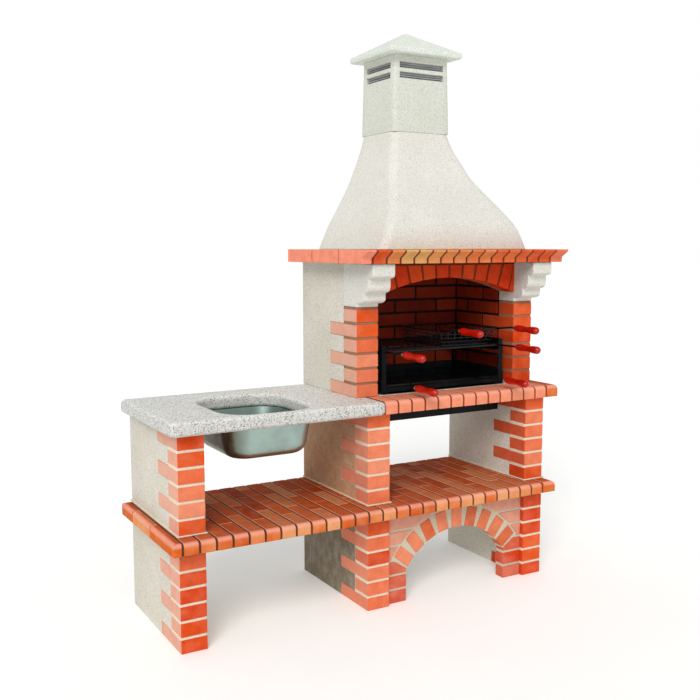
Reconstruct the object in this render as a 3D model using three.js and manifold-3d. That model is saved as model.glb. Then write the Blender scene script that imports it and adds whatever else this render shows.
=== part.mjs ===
// Outdoor masonry barbecue: a brick and cast-concrete base with a stone worktop and sink on the left,
// and a brick-lined firebox with a hood, a chimney and a steel grilling insert on the right.
// Millimetres, +X right, +Y back, +Z up. While it is drawn, x is 0 at the left pier's outer face, y is 0 at
// the piers' front faces and z is 0 on the ground. The last lines move the origin to the footprint's middle.
import * as THREE from 'three';
import { mergeVertices } from 'three/addons/utils/BufferGeometryUtils.js';
import Module from 'manifold-3d';

const wasm = await Module();
wasm.setup();

// Bricks, joints and clearances
const brickLength = 210;
const brickWidth = 100;
const brickHeight = 50;
const joint = 10;
const mortarRecess = 4;
const tightJoint = 3;
const tightRecess = 2;
const gap = 0.3;
const overrun = 20;
const noseRadius = 18;
const noseSteps = 2;
const edgeSteps = 3;
const cornerSteps = 4;
const archSteps = 18;
const lintelSteps = 12;
const rodSides = 6;
const wireSides = 5;
const gripSides = 9;
const wasteSides = 18;

// Base: three piers and two bays
const courses = 6;
const pierDepth = 540;
const leftBay = 663;
const rightBay = 682;
const lowerBed = 26.5;
const upperBed = 4;

// Arch panel in the right bay. Its radius is half of the opening and the flatness, and its crown lies under
// the shelf by the cover.
const archSetback = 18;
const archThickness = 50;
const archFlatness = 43;
const archCover = 109.5;
const archLeg = 91;
const voussoirLength = 82;
const voussoirCount = 9;
const voussoirPitchDeg = 12.7;
const archBrickDepth = 36;
const archCrownHalf = 40;

// Shelf
const shelfThickness = 45.5;
const shelfFront = -70;
const shelfBackInset = 10;
const shelfLeft = -45;
const shelfLeftEndWidth = 31;
const shelfRightEndWidth = 66;
const shelfRightOverhang = 14;
const shelfJoint = 8;
const shelfColumns = 26;
const shelfEndBrick = 257;
const tileThickness = 25;
const noseDepth = 60;

// Worktop and sink
const worktopThickness = 51;
const worktopLeft = -40;
const worktopOverPier = 57;
const worktopFront = -50;
const worktopEdgeRadius = 16;
const worktopCornerRadius = 28;
const cutoutCentreX = 368;
const cutoutCentreY = 190;
const cutoutHalfX = 176;
const cutoutHalfY = 200;
const cutoutCornerRadius = 108;
const bowlHalfX = 179;
const bowlHalfY = 203;
const bowlCornerRadius = 102;
const bowlDepth = 122;
const bowlTaper = 14;
const bowlBottomRadius = 46;
const bowlSheet = 1.5;
const bowlFlange = 18;
const drainRadius = 22;
const wasteFlangeRadius = 36;
const wasteNutRadius = 30;
const wasteDrop = 13;
const wasteWall = 2.5;
const wasteClearance = 1;
const strainerDepth = 9;
const strainerSheet = 1.2;

// Ledge
const ledgeLeftGap = 3;
const ledgeRightOverhang = 50;
const ledgeEndWidth = 59.5;
const ledgeFront = -32;
const ledgeJoint = 8;
const ledgeColumns = 13;
const ledgeTileLength = 130;

// Firebox
const fireboxFront = 90;
const fireJoint = 9;
const liningThickness = 15;
const liningLength = 217;
const backThickness = 44;
const corbelHeight = 169;
const corbelReach = 121;
const corbelTail = 100;
const lintelThickness = 100;
const lintelRadius = 880;
const lintelCrownDrop = 61;
const lintelBrick = 55;
const lintelBrickDepth = 70;

// Cornice
const corniceThickness = 53;
const corniceLeftOverhang = 57;
const corniceRightOverhang = 43;
const corniceFront = -82;
const corniceBackOverhang = 25;
const corniceFlare = 37;
const corniceLip = 20;
const corniceFascia = 8;
const corniceLeftEnd = 43;
const corniceRightEnd = 62;
const corniceTiles = 14;
const corniceSideBrick = 218;
const flueSideInset = 20;
const flueFrontInset = 8;

// Hood, stack and cap
const hoodWidth = 728;
const hoodFront = 27;
const hoodBackOverhang = 20;
const hoodHeight = 485;
const hoodWall = 32;
const hoodCornerRadius = 18;
const stackCornerRadius = 6;
const stackWidth = 281;
const stackDepth = 265;
const stackTaper = 6;
const stackHeight = 312;
const stackWall = 26;
const ventMarginAcross = 30.5;
const ventMarginAlong = 37.5;
const ventHeight = 25;
const ventBar = 16;
const ventDrop = 28;
const ventCount = 2;
const bladeThickness = 3;
const bladeDepth = 18;
const bladeTiltDeg = 25;
const bladeSeat = 4;
const capOverhang = 36;
const capFascia = 25;
const capRise = 88;
const capTip = 14;

// Steel insert
const sheet = 2;
const insertSideClearance = 32.5;
const insertBackClearance = 16;
const insertRise = 59;
const insertFlange = 8;
const wellInset = 23.5;
const wellClearance = 2;
const wellHang = 60;
const ledgeRim = 15;
const frameThickness = 3;
const frameHeight = 191;
const postWidth = 20;
const railReach = 36;
const railThickness = 3;
const windowMargin = 18;
const lowerWindowBottom = 58;
const lowerWindowTop = 115;
const upperWindowBottom = 124;
const upperWindowTop = 140;
const lowerRail = 121;
const upperRail = 146;
const rackLevel = 163;
const trayLift = 3;
const sideClearance = 3;

// Charcoal tray, grill rack and basket grill
const trayHeight = 28;
const trayBackClearance = 12;
const traySlotWidth = 9;
const traySlotCount = 7;
const traySlotMargin = 42;
const trayBarRadius = 5;
const rackRodRadius = 4;
const rackWireRadius = 2.4;
const rackWireCount = 15;
const rackCrossRadius = 3.1;
const rackBackClearance = 9.7;
const basketWidth = 285;
const basketBackInset = 22;
const basketHeight = 64;
const basketFlare = 24;
const basketRimRadius = 3;
const basketWireRadius = 1.7;
const basketLoopRadius = 2.6;
const basketPostRadius = 2.3;
const basketKnotRadius = 4.2;
const basketFloorWires = 7;
const basketSideWires = 1;
const basketSideMargin = 10;

// Wooden grips and the rods that carry them
const gripLength = 140;
const gripRadius = 15.5;
const gripBoreDepth = 40;
const gripDroopDeg = 1;
const gripStart = -6.2;
const handleRodRadius = 4;
const kneeLength = 26;
const collarRadius = 8.5;
const collarLength = 12;
const trayHandleInset = 59.2;
const trayRootInset = 117.2;
const trayHandleRise = 6;
const rackHandleRise = 2;
const basketHandleRise = 13;

// Tables of shares. A corbel's heights run down from the cornice, its face and then its underside for each
// tier, and its reaches are how far each tier stands out.
const corbelHeightShares = [0.243, 0.089, 0.148, 0.183, 0.13, 0.124];
const corbelReachShares = [1, 0.744, 0.455, 0];
const bowlArcShares = [0.35, 0.7];
// Each row of the hood: height, side run and front run, as shares of the height and of the two runs
const hoodShares = [
  [0, 1, 1], [0.09, 0.91, 0.985], [0.19, 0.81, 0.94], [0.32, 0.645, 0.78], [0.46, 0.47, 0.565],
  [0.6, 0.315, 0.34], [0.73, 0.195, 0.215], [0.86, 0.085, 0.09], [1, 0, 0],
];
// Each point of a turned grip: distance from the collar and radius, as shares of its length and radius
const gripShares = [
  [0, 0.62], [0.08, 0.88], [0.24, 0.92], [0.47, 0.76], [0.8, 1], [0.93, 0.86], [0.985, 0.5],
];

// Places that follow from the sizes
const course = brickHeight + joint;
const fireCourse = brickHeight + fireJoint;
const centrePier = brickWidth + leftBay;
const rightPier = centrePier + brickWidth + rightBay;
const baseRight = rightPier + brickWidth;
const bayLeft = centrePier + brickWidth;
const worktopRight = centrePier + worktopOverPier;
const ledgeLeft = worktopRight + ledgeLeftGap;
const ledgeRight = baseRight + ledgeRightOverhang;
const shelfRight = baseRight + shelfRightOverhang;
const bayMiddle = (bayLeft + rightPier) / 2;
const shelfBottom = courses * course - joint + lowerBed;
const shelfTop = shelfBottom + shelfThickness;
const upperBrickBottom = shelfTop + upperBed;
const ledgeBottom = upperBrickBottom + courses * course - joint + upperBed;
const ledgeTop = ledgeBottom + worktopThickness;
const archRadius = rightBay / 2 - archLeg + archFlatness;
const archRise = shelfBottom - archCover;
const corbelBottom = ledgeTop + courses * fireCourse;
const corniceBottom = corbelBottom + corbelHeight;
const corniceTop = corniceBottom + corniceThickness;
const corniceLeft = centrePier - corniceLeftOverhang;
const corniceRight = baseRight + corniceRightOverhang;
const shelfBack = pierDepth - shelfBackInset;
const liningBack = pierDepth - backThickness;
const corniceBack = pierDepth + corniceBackOverhang;
const hoodBack = pierDepth + hoodBackOverhang;
const hoodTop = corniceTop + hoodHeight;
const stackTop = hoodTop + stackHeight;
const stackFront = hoodBack - stackDepth;
const insertLeft = bayLeft + insertSideClearance;
const insertRight = rightPier - insertSideClearance;
const insertFront = ledgeFront + ledgeTileLength + ledgeRim + wellClearance;
const insertBack = liningBack - insertBackClearance;
const wellLeft = insertLeft + wellInset;
const wellRight = insertRight - wellInset;
const insertTop = ledgeTop + insertRise;
const frameBottom = ledgeTop + gap + sheet + gap;
const trayBottom = frameBottom + trayLift + gap;
const trackLeft = insertLeft + sheet + gap + postWidth + sideClearance;
const trackRight = insertRight - sheet - gap - postWidth - sideClearance;
const rackZ = frameBottom + rackLevel + rackRodRadius;
const trayFront = insertFront + trayBarRadius;
const trayBack = insertBack - sheet - trayBackClearance;
const rackFront = insertFront + sheet + gap + frameThickness + rackRodRadius;
const rackBack = insertBack - sheet - rackBackClearance - rackRodRadius;

// Geometry helpers. A block is [x0, x1, y0, y1, z0, z1].
const axisX = new THREE.Vector3(1, 0, 0);
const axisY = new THREE.Vector3(0, 1, 0);
const axisZ = new THREE.Vector3(0, 0, 1);

function block([x0, x1, y0, y1, z0, z1]) {
  const geometry = new THREE.BoxGeometry(x1 - x0, y1 - y0, z1 - z0);
  return geometry.translate((x0 + x1) / 2, (y0 + y1) / 2, (z0 + z1) / 2);
}

function outline(points) {
  return new THREE.Shape(points.map(([a, b]) => new THREE.Vector2(a, b)));
}

function extruded(shape, depth, curveSegments) {
  return new THREE.ExtrudeGeometry(shape, { depth, bevelEnabled: false, curveSegments });
}

// A (y, z) outline drawn out along X
function alongX(shape, x0, x1, steps = noseSteps) {
  const geometry = extruded(shape, x1 - x0, steps);
  return geometry.applyMatrix4(new THREE.Matrix4().makeBasis(axisY, axisZ, axisX)).translate(x0, 0, 0);
}

// An (x, z) outline drawn out along Y
function alongY(shape, y0, y1, steps = noseSteps) {
  const geometry = extruded(shape, y1 - y0, steps);
  const backwards = axisY.clone().negate();
  return geometry.applyMatrix4(new THREE.Matrix4().makeBasis(axisX, axisZ, backwards)).translate(0, y1, 0);
}

// Bare positions, which is all that a solid needs
function plain(geometry) {
  const copy = geometry.index ? geometry.toNonIndexed() : geometry.clone();
  copy.deleteAttribute('normal');
  copy.deleteAttribute('uv');
  return copy;
}

function solidOf(geometry) {
  const merged = mergeVertices(plain(geometry));
  const vertProperties = new Float32Array(merged.attributes.position.array);
  const triVerts = new Uint32Array(merged.index.array);
  return new wasm.Manifold(new wasm.Mesh({ numProp: 3, vertProperties, triVerts }));
}

function geometryOf(solid) {
  const mesh = solid.getMesh();
  const geometry = new THREE.BufferGeometry();
  geometry.setAttribute('position', new THREE.BufferAttribute(new Float32Array(mesh.vertProperties), 3));
  geometry.setIndex(new THREE.BufferAttribute(new Uint32Array(mesh.triVerts), 1));
  return geometry;
}

function joined(list) {
  return geometryOf(list.map(solidOf).reduce((sum, solid) => sum.add(solid)));
}

function cut(base, tools) {
  return geometryOf(tools.map(solidOf).reduce((left, tool) => left.subtract(tool), solidOf(base)));
}

function common(a, b) {
  return geometryOf(solidOf(a).intersect(solidOf(b)));
}

// A body whose sections are rings of equal point count; the last ring closes on the first or has caps
function loft(rings, capped) {
  const count = rings[0].length;
  const positions = rings.flat().flatMap((point) => [point.x, point.y, point.z]);
  const index = [];
  const last = capped ? rings.length - 1 : rings.length;
  for (let row = 0; row < last; row += 1) {
    const next = (row + 1) % rings.length;
    for (let i = 0; i < count; i += 1) {
      const j = (i + 1) % count;
      index.push(row * count + i, row * count + j, next * count + j);
      index.push(row * count + i, next * count + j, next * count + i);
    }
  }
  if (capped) {
    const top = (rings.length - 1) * count;
    for (let i = 1; i < count - 1; i += 1) {
      index.push(0, i + 1, i);
      index.push(top, top + i, top + i + 1);
    }
  }
  const geometry = new THREE.BufferGeometry();
  geometry.setAttribute('position', new THREE.BufferAttribute(new Float32Array(positions), 3));
  geometry.setIndex(index);
  return geometry;
}

// A level rectangle with round corners, anticlockwise from above
function ring(x0, x1, y0, y1, radius, z, steps) {
  const corners = [[x1, y1, 0], [x0, y1, 1], [x0, y0, 2], [x1, y0, 3]];
  return corners.flatMap(([x, y, quarter]) => {
    const centreX = x === x1 ? x1 - radius : x0 + radius;
    const centreY = y === y1 ? y1 - radius : y0 + radius;
    return Array.from({ length: steps + 1 }, (_, i) => {
      const angle = (quarter + i / steps) * Math.PI / 2;
      return new THREE.Vector3(centreX + radius * Math.cos(angle), centreY + radius * Math.sin(angle), z);
    });
  });
}

// A round bar between two points
function bar(from, to, radius, sides) {
  const run = to.clone().sub(from);
  const geometry = new THREE.CylinderGeometry(radius, radius, run.length(), sides);
  const turn = new THREE.Quaternion().setFromUnitVectors(axisY, run.clone().normalize());
  const middle = from.clone().lerp(to, 0.5);
  return geometry.applyQuaternion(turn).translate(middle.x, middle.y, middle.z);
}

function point(x, y, z) {
  return new THREE.Vector3(x, y, z);
}

// Materials
function finish(color, roughness, metalness = 0) {
  return () => new THREE.MeshStandardMaterial({ color, roughness, metalness });
}

const concrete = finish(0xdcd8cc, 0.95);
const paleConcrete = finish(0xe2ded6, 0.95);
const mortar = finish(0xd6ccb8, 0.95);
const darkMortar = finish(0x55392f, 0.95);
const brick = finish(0xe0653c, 0.85);
const tile = finish(0xdb6a45, 0.8);
const corniceTile = finish(0xe08a54, 0.8);
const firebrick = finish(0x6b3226, 0.95);
const granite = finish(0xb9b9b4, 0.5);
const steel = finish(0xb4bcba, 0.3, 1);
const blackSteel = finish(0x16191b, 0.6, 0.6);
const wire = finish(0x3d4244, 0.45, 0.8);
const redWood = finish(0xc8281a, 0.3);

const barbecue = new THREE.Group();

function add(name, geometry, material) {
  const mesh = new THREE.Mesh(geometry, material());
  mesh.name = name;
  mesh.geometry.computeVertexNormals();
  barbecue.add(mesh);
}

// A (y, z) outline of bricks toothed up the front of a wall, long and short in turn, with recessed mortar
// between them. With spare room it is the seat that the wall keeps free for them.
function quoinOutline({ front, bottom, top, first, pitch, longFirst }, spare) {
  const face = spare ? front - overrun : front;
  const bed = spare ? face : front + mortarRecess;
  const shortBack = front + brickWidth + spare;
  const longBack = front + brickLength + spare;
  const end = spare ? overrun : 0;
  const up = [[bed, bottom - end]];
  const down = [[shortBack, bottom - end]];
  for (let k = 0; k < courses; k += 1) {
    const z = first + k * pitch;
    up.push([bed, z], [face, z], [face, z + brickHeight], [bed, z + brickHeight]);
    if ((k % 2 === 0) === longFirst) {
      const under = z - spare;
      const over = z + brickHeight + spare;
      down.push([shortBack, under], [longBack, under], [longBack, over], [shortBack, over]);
    }
  }
  up.push([bed, top + end]);
  down.push([shortBack, top + end]);
  const points = [...down, ...up.reverse()];
  return outline(points.filter(([y, z], i) => {
    const [lastY, lastZ] = points[(i + points.length - 1) % points.length];
    return y !== lastY || z !== lastZ;
  }));
}

// A wall of one brick's width with its toothed bricks as a piece of their own
function addQuoins(name, x, layout) {
  add(name, alongX(quoinOutline(layout, 0), x, x + brickWidth), brick);
  return alongX(quoinOutline(layout, gap), x - overrun, x + brickWidth + overrun);
}

function addPier(place, x) {
  const lower = { front: 0, bottom: 0, top: shelfBottom, first: 0, pitch: course, longFirst: true };
  const lowerSeat = addQuoins(`lower_${place}_quoins`, x, lower);
  const lowerWall = block([x, x + brickWidth, mortarRecess, pierDepth, 0, shelfBottom]);
  add(`lower_${place}_panel`, cut(lowerWall, [lowerSeat]), concrete);

  const bottom = shelfTop + gap;
  const upper = {
    front: 0, bottom, top: ledgeBottom, first: upperBrickBottom, pitch: course, longFirst: false,
  };
  const upperSeat = addQuoins(`upper_${place}_quoins`, x, upper);
  const upperWall = block([x, x + brickWidth, mortarRecess, pierDepth, bottom, ledgeBottom]);
  add(`upper_${place}_panel`, cut(upperWall, [upperSeat]), concrete);
}

// Arch panel: a ring of wedge-jointed bricks, a haunch of level bricks on each side and a cast back
function addArch() {
  const left = bayLeft + gap;
  const right = rightPier - gap;
  const legInside = archLeg - gap;
  const centreZ = archRise - archRadius;
  const springCos = (bayMiddle - left - legInside) / archRadius;
  const springAngle = Math.acos(springCos);
  const springZ = centreZ + archRadius * Math.sin(springAngle);
  const back = archSetback + archThickness;
  const brickBack = archSetback + archBrickDepth;
  const mortarFace = archSetback + mortarRecess;

  const face = new THREE.Shape();
  face.moveTo(left, 0);
  face.lineTo(left + legInside, 0);
  face.lineTo(left + legInside, springZ);
  face.absarc(bayMiddle, centreZ, archRadius, Math.PI - springAngle, springAngle, true);
  face.lineTo(right - legInside, 0);
  face.lineTo(right, 0);
  face.lineTo(right, shelfBottom);
  face.lineTo(left, shelfBottom);

  // A slice of the ring about the arch centre, its sides standing a joint outside the end bricks
  const halfSpan = THREE.MathUtils.degToRad((voussoirCount / 2) * voussoirPitchDeg);
  const slice = (inner, outer, spare) => {
    const half = halfSpan + spare / archRadius;
    const shape = new THREE.Shape();
    shape.absarc(bayMiddle, centreZ, outer, Math.PI / 2 - half, Math.PI / 2 + half, false);
    shape.absarc(bayMiddle, centreZ, inner, Math.PI / 2 + half, Math.PI / 2 - half, true);
    return shape;
  };
  const extrados = archRadius + voussoirLength + joint;
  const voussoirs = Array.from({ length: voussoirCount }, (_, k) => {
    const half = brickHeight / 2;
    const standing = block([-half, half, archSetback, brickBack, archRadius, archRadius + voussoirLength]);
    const tilt = THREE.MathUtils.degToRad((k - (voussoirCount - 1) / 2) * voussoirPitchDeg);
    return standing.rotateY(tilt).translate(bayMiddle, 0, centreZ);
  });
  const wedges = alongY(slice(archRadius + mortarRecess, extrados, 0), mortarFace, brickBack, archSteps);
  add('arch_ring', joined([wedges, ...voussoirs]), brick);

  const ringSlice = slice(archRadius - overrun, extrados + gap, gap);
  const ringSeat = alongY(ringSlice, -overrun, brickBack + gap, archSteps);
  const top = courses * course - joint;
  const sides = {
    left: (from, to) => [bayLeft + gap + from, bayLeft + to],
    right: (from, to) => [rightPier - to, rightPier - gap - from],
  };
  const tools = [ringSeat];
  for (const [place, span] of Object.entries(sides)) {
    const reach = bayMiddle - bayLeft - archCrownHalf;
    const web = alongY(face, mortarFace, brickBack, archSteps);
    const parts = [common(web, block([...span(0, reach), 0, pierDepth, 0, top]))];
    for (let k = 0; k < courses; k += 1) {
      const z = k * course;
      const limit = z < springZ ? archLeg : reach;
      for (let from = 0; from < limit; from += brickLength + joint) {
        const to = Math.min(from + brickLength, limit);
        parts.push(block([...span(from, to), archSetback, brickBack, z, z + brickHeight]));
      }
    }
    const haunch = common(joined(parts), alongY(face, archSetback, brickBack, archSteps));
    add(`arch_${place}_bricks`, cut(haunch, [ringSeat]), brick);
    const seat = [...span(-overrun, reach + gap), -overrun, brickBack + gap, -overrun, top + gap];
    tools.push(block(seat));
  }
  add('arch_panel', cut(alongY(face, mortarFace, back, archSteps), tools), mortar);
}

// A (y, z) outline with its top front edge rounded, its front part hanging below the rest of the tile
function noseOutline(front, noseBack, back, bottom, top, bodyBottom) {
  const shape = new THREE.Shape();
  shape.moveTo(front, bottom);
  shape.lineTo(noseBack, bottom);
  shape.lineTo(noseBack, bodyBottom);
  shape.lineTo(back, bodyBottom);
  shape.lineTo(back, top);
  shape.lineTo(front + noseRadius, top);
  shape.absarc(front + noseRadius, top - noseRadius, noseRadius, Math.PI / 2, Math.PI, false);
  return shape;
}

// Tiles side by side from x, on a mortar body that shows between them
function tileRow({ x, count, pitch, width, bedLeft, bedRight, front, back, bottom, top }) {
  const bodyBottom = top - tileThickness;
  const noseBack = front + noseDepth;
  const bed = noseOutline(front + mortarRecess, noseBack, back, bottom, top - tightRecess, bodyBottom);
  const parts = [alongX(bed, bedLeft, bedRight)];
  for (let k = 0; k < count; k += 1) {
    const x0 = x + k * pitch;
    parts.push(alongX(noseOutline(front, noseBack, back, bottom, top, bodyBottom), x0, x0 + width));
  }
  return joined(parts);
}

// Narrow joints cut across the top and the outer side of a row of bricks that runs front to back
function scored(row, { x0, x1, front, back, bottom, top, outerIsLeft, length, width, depth }) {
  const tools = [];
  for (let y = front + length; y < back; y += length + width) {
    tools.push(block([x0 - overrun, x1 + overrun, y, y + width, top - depth, top + overrun]));
    const side = outerIsLeft ? [x0 - overrun, x0 + depth] : [x1 - depth, x1 + overrun];
    tools.push(block([...side, y, y + width, bottom - overrun, top]));
  }
  return cut(row, tools);
}

// The bricks that close a tiled surface on one side, rounded on their outer and front top edges
function endBricks(place) {
  const { x0, x1, front, back, bottom, top, outerIsLeft } = place;
  const outer = outerIsLeft ? x0 : x1;
  const inner = outerIsLeft ? x1 : x0;
  const centre = outerIsLeft ? x0 + noseRadius : x1 - noseRadius;
  const side = new THREE.Shape();
  side.moveTo(outer, bottom);
  side.lineTo(inner, bottom);
  side.lineTo(inner, top);
  side.lineTo(centre, top);
  side.absarc(centre, top - noseRadius, noseRadius, Math.PI / 2, outerIsLeft ? Math.PI : 0, !outerIsLeft);
  const rounded = noseOutline(front, front + noseDepth, back, bottom, top, bottom);
  const nose = alongX(rounded, x0 - overrun, x1 + overrun);
  return scored(common(alongY(side, front, back), nose), { ...place, width: tightJoint, depth: tightRecess });
}

// Shelf: slab, tile rows with a rounded nose and a row of end bricks at each side
function addShelf() {
  const bottom = shelfBottom + gap;
  const top = shelfTop;
  const x = shelfLeft + shelfLeftEndWidth + shelfJoint;
  const right = shelfRight - shelfRightEndWidth;
  const pitch = (right - x) / shelfColumns;
  const width = pitch - shelfJoint;
  const edges = { front: shelfFront, back: shelfBack, bottom, top };
  const slabFront = shelfFront + noseDepth + gap;
  const slabTop = shelfTop - tileThickness - gap;
  const bedLeft = shelfLeft + shelfLeftEndWidth + gap;
  const bedRight = right - gap;
  add('shelf_slab', block([bedLeft, bedRight, slabFront, shelfBack, bottom, slabTop]), darkMortar);
  add('shelf_tiles', tileRow({
    x, count: shelfColumns, pitch, width, bedLeft, bedRight, ...edges,
  }), tile);
  add('shelf_left_end_bricks', endBricks({
    x0: shelfLeft, x1: shelfLeft + shelfLeftEndWidth, ...edges, outerIsLeft: true, length: shelfEndBrick,
  }), tile);
  add('shelf_right_end_bricks', endBricks({
    x0: right, x1: shelfRight, ...edges, outerIsLeft: false, length: shelfEndBrick,
  }), tile);
}

// Stone worktop with every edge rounded, also round its sink cut-out
function addWorktop() {
  const path = (x0, x1, y0, y1, radius) => ring(x0, x1, y0, y1, radius, 0, cornerSteps)
    .map((corner) => new THREE.Vector2(corner.x, corner.y));
  const edge = path(worktopLeft, worktopRight, worktopFront, pierDepth, worktopCornerRadius);
  const hole = path(
    cutoutCentreX - cutoutHalfX, cutoutCentreX + cutoutHalfX,
    cutoutCentreY - cutoutHalfY, cutoutCentreY + cutoutHalfY, cutoutCornerRadius,
  );
  const shape = new THREE.Shape(edge);
  shape.holes.push(new THREE.Path(hole));
  const slab = new THREE.ExtrudeGeometry(shape, {
    depth: worktopThickness - gap - 2 * worktopEdgeRadius,
    bevelThickness: worktopEdgeRadius,
    bevelSize: worktopEdgeRadius,
    bevelOffset: -worktopEdgeRadius,
    bevelSegments: edgeSteps,
  });
  add('worktop', slab.translate(0, 0, ledgeBottom + gap + worktopEdgeRadius), granite);
}

// Pressed bowl hung by its flange under the worktop, with its waste fitting and lift-out strainer
function addSink() {
  const rim = ledgeBottom;
  const floor = rim - bowlDepth;
  const section = (inset, z, drain) => ring(
    cutoutCentreX - (drain || bowlHalfX - inset), cutoutCentreX + (drain || bowlHalfX - inset),
    cutoutCentreY - (drain || bowlHalfY - inset), cutoutCentreY + (drain || bowlHalfY - inset),
    drain || Math.max(bowlCornerRadius - inset, bowlBottomRadius), z, cornerSteps,
  );
  const flat = bowlTaper + bowlBottomRadius;
  const arc = (offset) => bowlArcShares.map((share) => {
    const angle = share * Math.PI / 2;
    const radius = bowlBottomRadius - offset;
    return section(flat - radius * Math.cos(angle), floor + bowlBottomRadius - radius * Math.sin(angle));
  });
  add('sink_bowl', loft([
    section(0, floor, drainRadius),
    section(flat, floor),
    ...arc(0).reverse(),
    section(bowlTaper, floor + bowlBottomRadius),
    section(0, rim - bowlSheet),
    section(-bowlFlange, rim - bowlSheet),
    section(-bowlFlange, rim),
    section(bowlSheet, rim),
    section(bowlTaper + bowlSheet, floor + bowlBottomRadius),
    ...arc(bowlSheet),
    section(flat, floor + bowlSheet),
    section(0, floor + bowlSheet, drainRadius),
  ], false), steel);

  const turned = (profile) => {
    const geometry = new THREE.LatheGeometry(profile.map(([r, z]) => new THREE.Vector2(r, z)), wasteSides);
    return geometry.rotateX(Math.PI / 2).translate(cutoutCentreX, cutoutCentreY, 0);
  };
  const under = floor - gap;
  const over = floor + bowlSheet + gap;
  const throat = drainRadius - wasteClearance;
  const bore = throat - wasteWall;
  add('sink_waste', turned([
    [bore, under - wasteDrop], [wasteNutRadius, under - wasteDrop], [wasteNutRadius, under], [throat, under],
    [throat, over], [wasteFlangeRadius, over], [wasteFlangeRadius, over + bowlSheet],
    [bore, over + bowlSheet],
    [bore, under - wasteDrop],
  ]), steel);
  const basket = bore - wasteClearance;
  const seat = over + bowlSheet + gap;
  const dish = seat - strainerDepth;
  add('sink_strainer', turned([
    [0, dish], [basket, dish], [basket, seat], [throat, seat], [throat, seat + strainerSheet],
    [basket - strainerSheet, seat + strainerSheet], [basket - strainerSheet, dish + strainerSheet],
    [0, dish + strainerSheet],
  ]), steel);
}

// Ledge: slab with the opening for the steel insert, one row of nosed tiles and the right end bricks
function addLedge() {
  const bottom = ledgeBottom + gap;
  const top = ledgeTop;
  const endLeft = ledgeRight - ledgeEndWidth;
  const pitch = (endLeft - ledgeLeft) / ledgeColumns;
  const tileBack = ledgeFront + ledgeTileLength;
  const slabFront = ledgeFront + noseDepth + gap;
  const slab = outline([
    [slabFront, bottom], [pierDepth, bottom], [pierDepth, top], [tileBack + gap, top],
    [tileBack + gap, top - tileThickness - gap], [slabFront, top - tileThickness - gap],
  ]);
  const opening = block([
    wellLeft - wellClearance, wellRight + wellClearance,
    insertFront - wellClearance, insertBack + wellClearance, 0, corniceTop,
  ]);
  add('ledge_slab', cut(alongX(slab, ledgeLeft, endLeft - gap), [opening]), darkMortar);
  add('ledge_tiles', tileRow({
    x: ledgeLeft, count: ledgeColumns, pitch, width: pitch - ledgeJoint,
    bedLeft: ledgeLeft, bedRight: endLeft - gap, front: ledgeFront, back: tileBack, bottom, top,
  }), tile);
  add('ledge_end_bricks', endBricks({
    x0: endLeft, x1: ledgeRight, front: ledgeFront, back: pierDepth, bottom, top, outerIsLeft: false,
    length: brickLength,
  }), tile);
}

// Firebox side: a cast panel with toothed bricks in front, a brick lining inside and a corbel on top
function addFireboxSide(place, x, innerIsRight) {
  const front = fireboxFront;
  const bottom = ledgeTop + gap;
  const layout = { front, bottom, top: corbelBottom, first: bottom, pitch: fireCourse, longFirst: true };
  const seat = addQuoins(`firebox_${place}_quoins`, x, layout);
  const corbelSeat = block([
    x - overrun, x + brickWidth + overrun, front - overrun, front + corbelTail + gap,
    corbelBottom, corniceTop,
  ]);
  const inside = innerIsRight ? x + brickWidth : x;
  const inward = innerIsRight ? 1 : -1;
  const layer = (from, to) => {
    const ends = [inside - inward * from, inside - inward * to];
    return [Math.min(...ends), Math.max(...ends)];
  };
  const lining = [block([
    ...layer(tightRecess, liningThickness), front + brickWidth + gap, liningBack, bottom, corniceBottom,
  ])];
  for (let z = bottom, k = 0; z + brickHeight / 2 < corniceBottom; z += fireCourse, k += 1) {
    const long = k % 2 === 0;
    const tooth = long ? brickLength : brickWidth;
    let y = front + (k < courses ? tooth : corbelTail) + fireJoint;
    let length = k >= courses && long ? brickWidth : brickLength;
    while (y < liningBack - fireJoint) {
      const end = Math.min(y + length, liningBack);
      lining.push(block([...layer(0, liningThickness), y, end, z, Math.min(z + brickHeight, corniceBottom)]));
      y = end + fireJoint;
      length = brickLength;
    }
  }
  const pocket = block([
    ...layer(-overrun, liningThickness + gap), front + brickWidth, liningBack + gap,
    bottom - overrun, corniceTop,
  ]);
  const wall = block([x, x + brickWidth, front + mortarRecess, pierDepth, bottom, corniceBottom]);
  add(`firebox_${place}_panel`, cut(wall, [seat, corbelSeat, pocket]), concrete);
  add(`firebox_${place}_lining`, cut(joined(lining), [seat, corbelSeat]), firebrick);

  // Each corbel tier has an upright face and a rounded underside
  const faces = corbelReachShares.map((share) => front - share * corbelReach);
  const shape = new THREE.Shape();
  let z = corniceBottom;
  shape.moveTo(front + corbelTail, z);
  shape.lineTo(faces[0], z);
  for (let tier = 0; tier < faces.length - 1; tier += 1) {
    z -= corbelHeightShares[2 * tier] * corbelHeight;
    shape.lineTo(faces[tier], z);
    const under = z - corbelHeightShares[2 * tier + 1] * corbelHeight;
    shape.quadraticCurveTo(faces[tier], under, faces[tier + 1], under);
    z = under;
  }
  shape.lineTo(front, corbelBottom + gap);
  shape.lineTo(front + corbelTail, corbelBottom + gap);
  add(`${place}_corbel`, alongX(shape, x, x + brickWidth, cornerSteps), paleConcrete);
}

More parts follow.
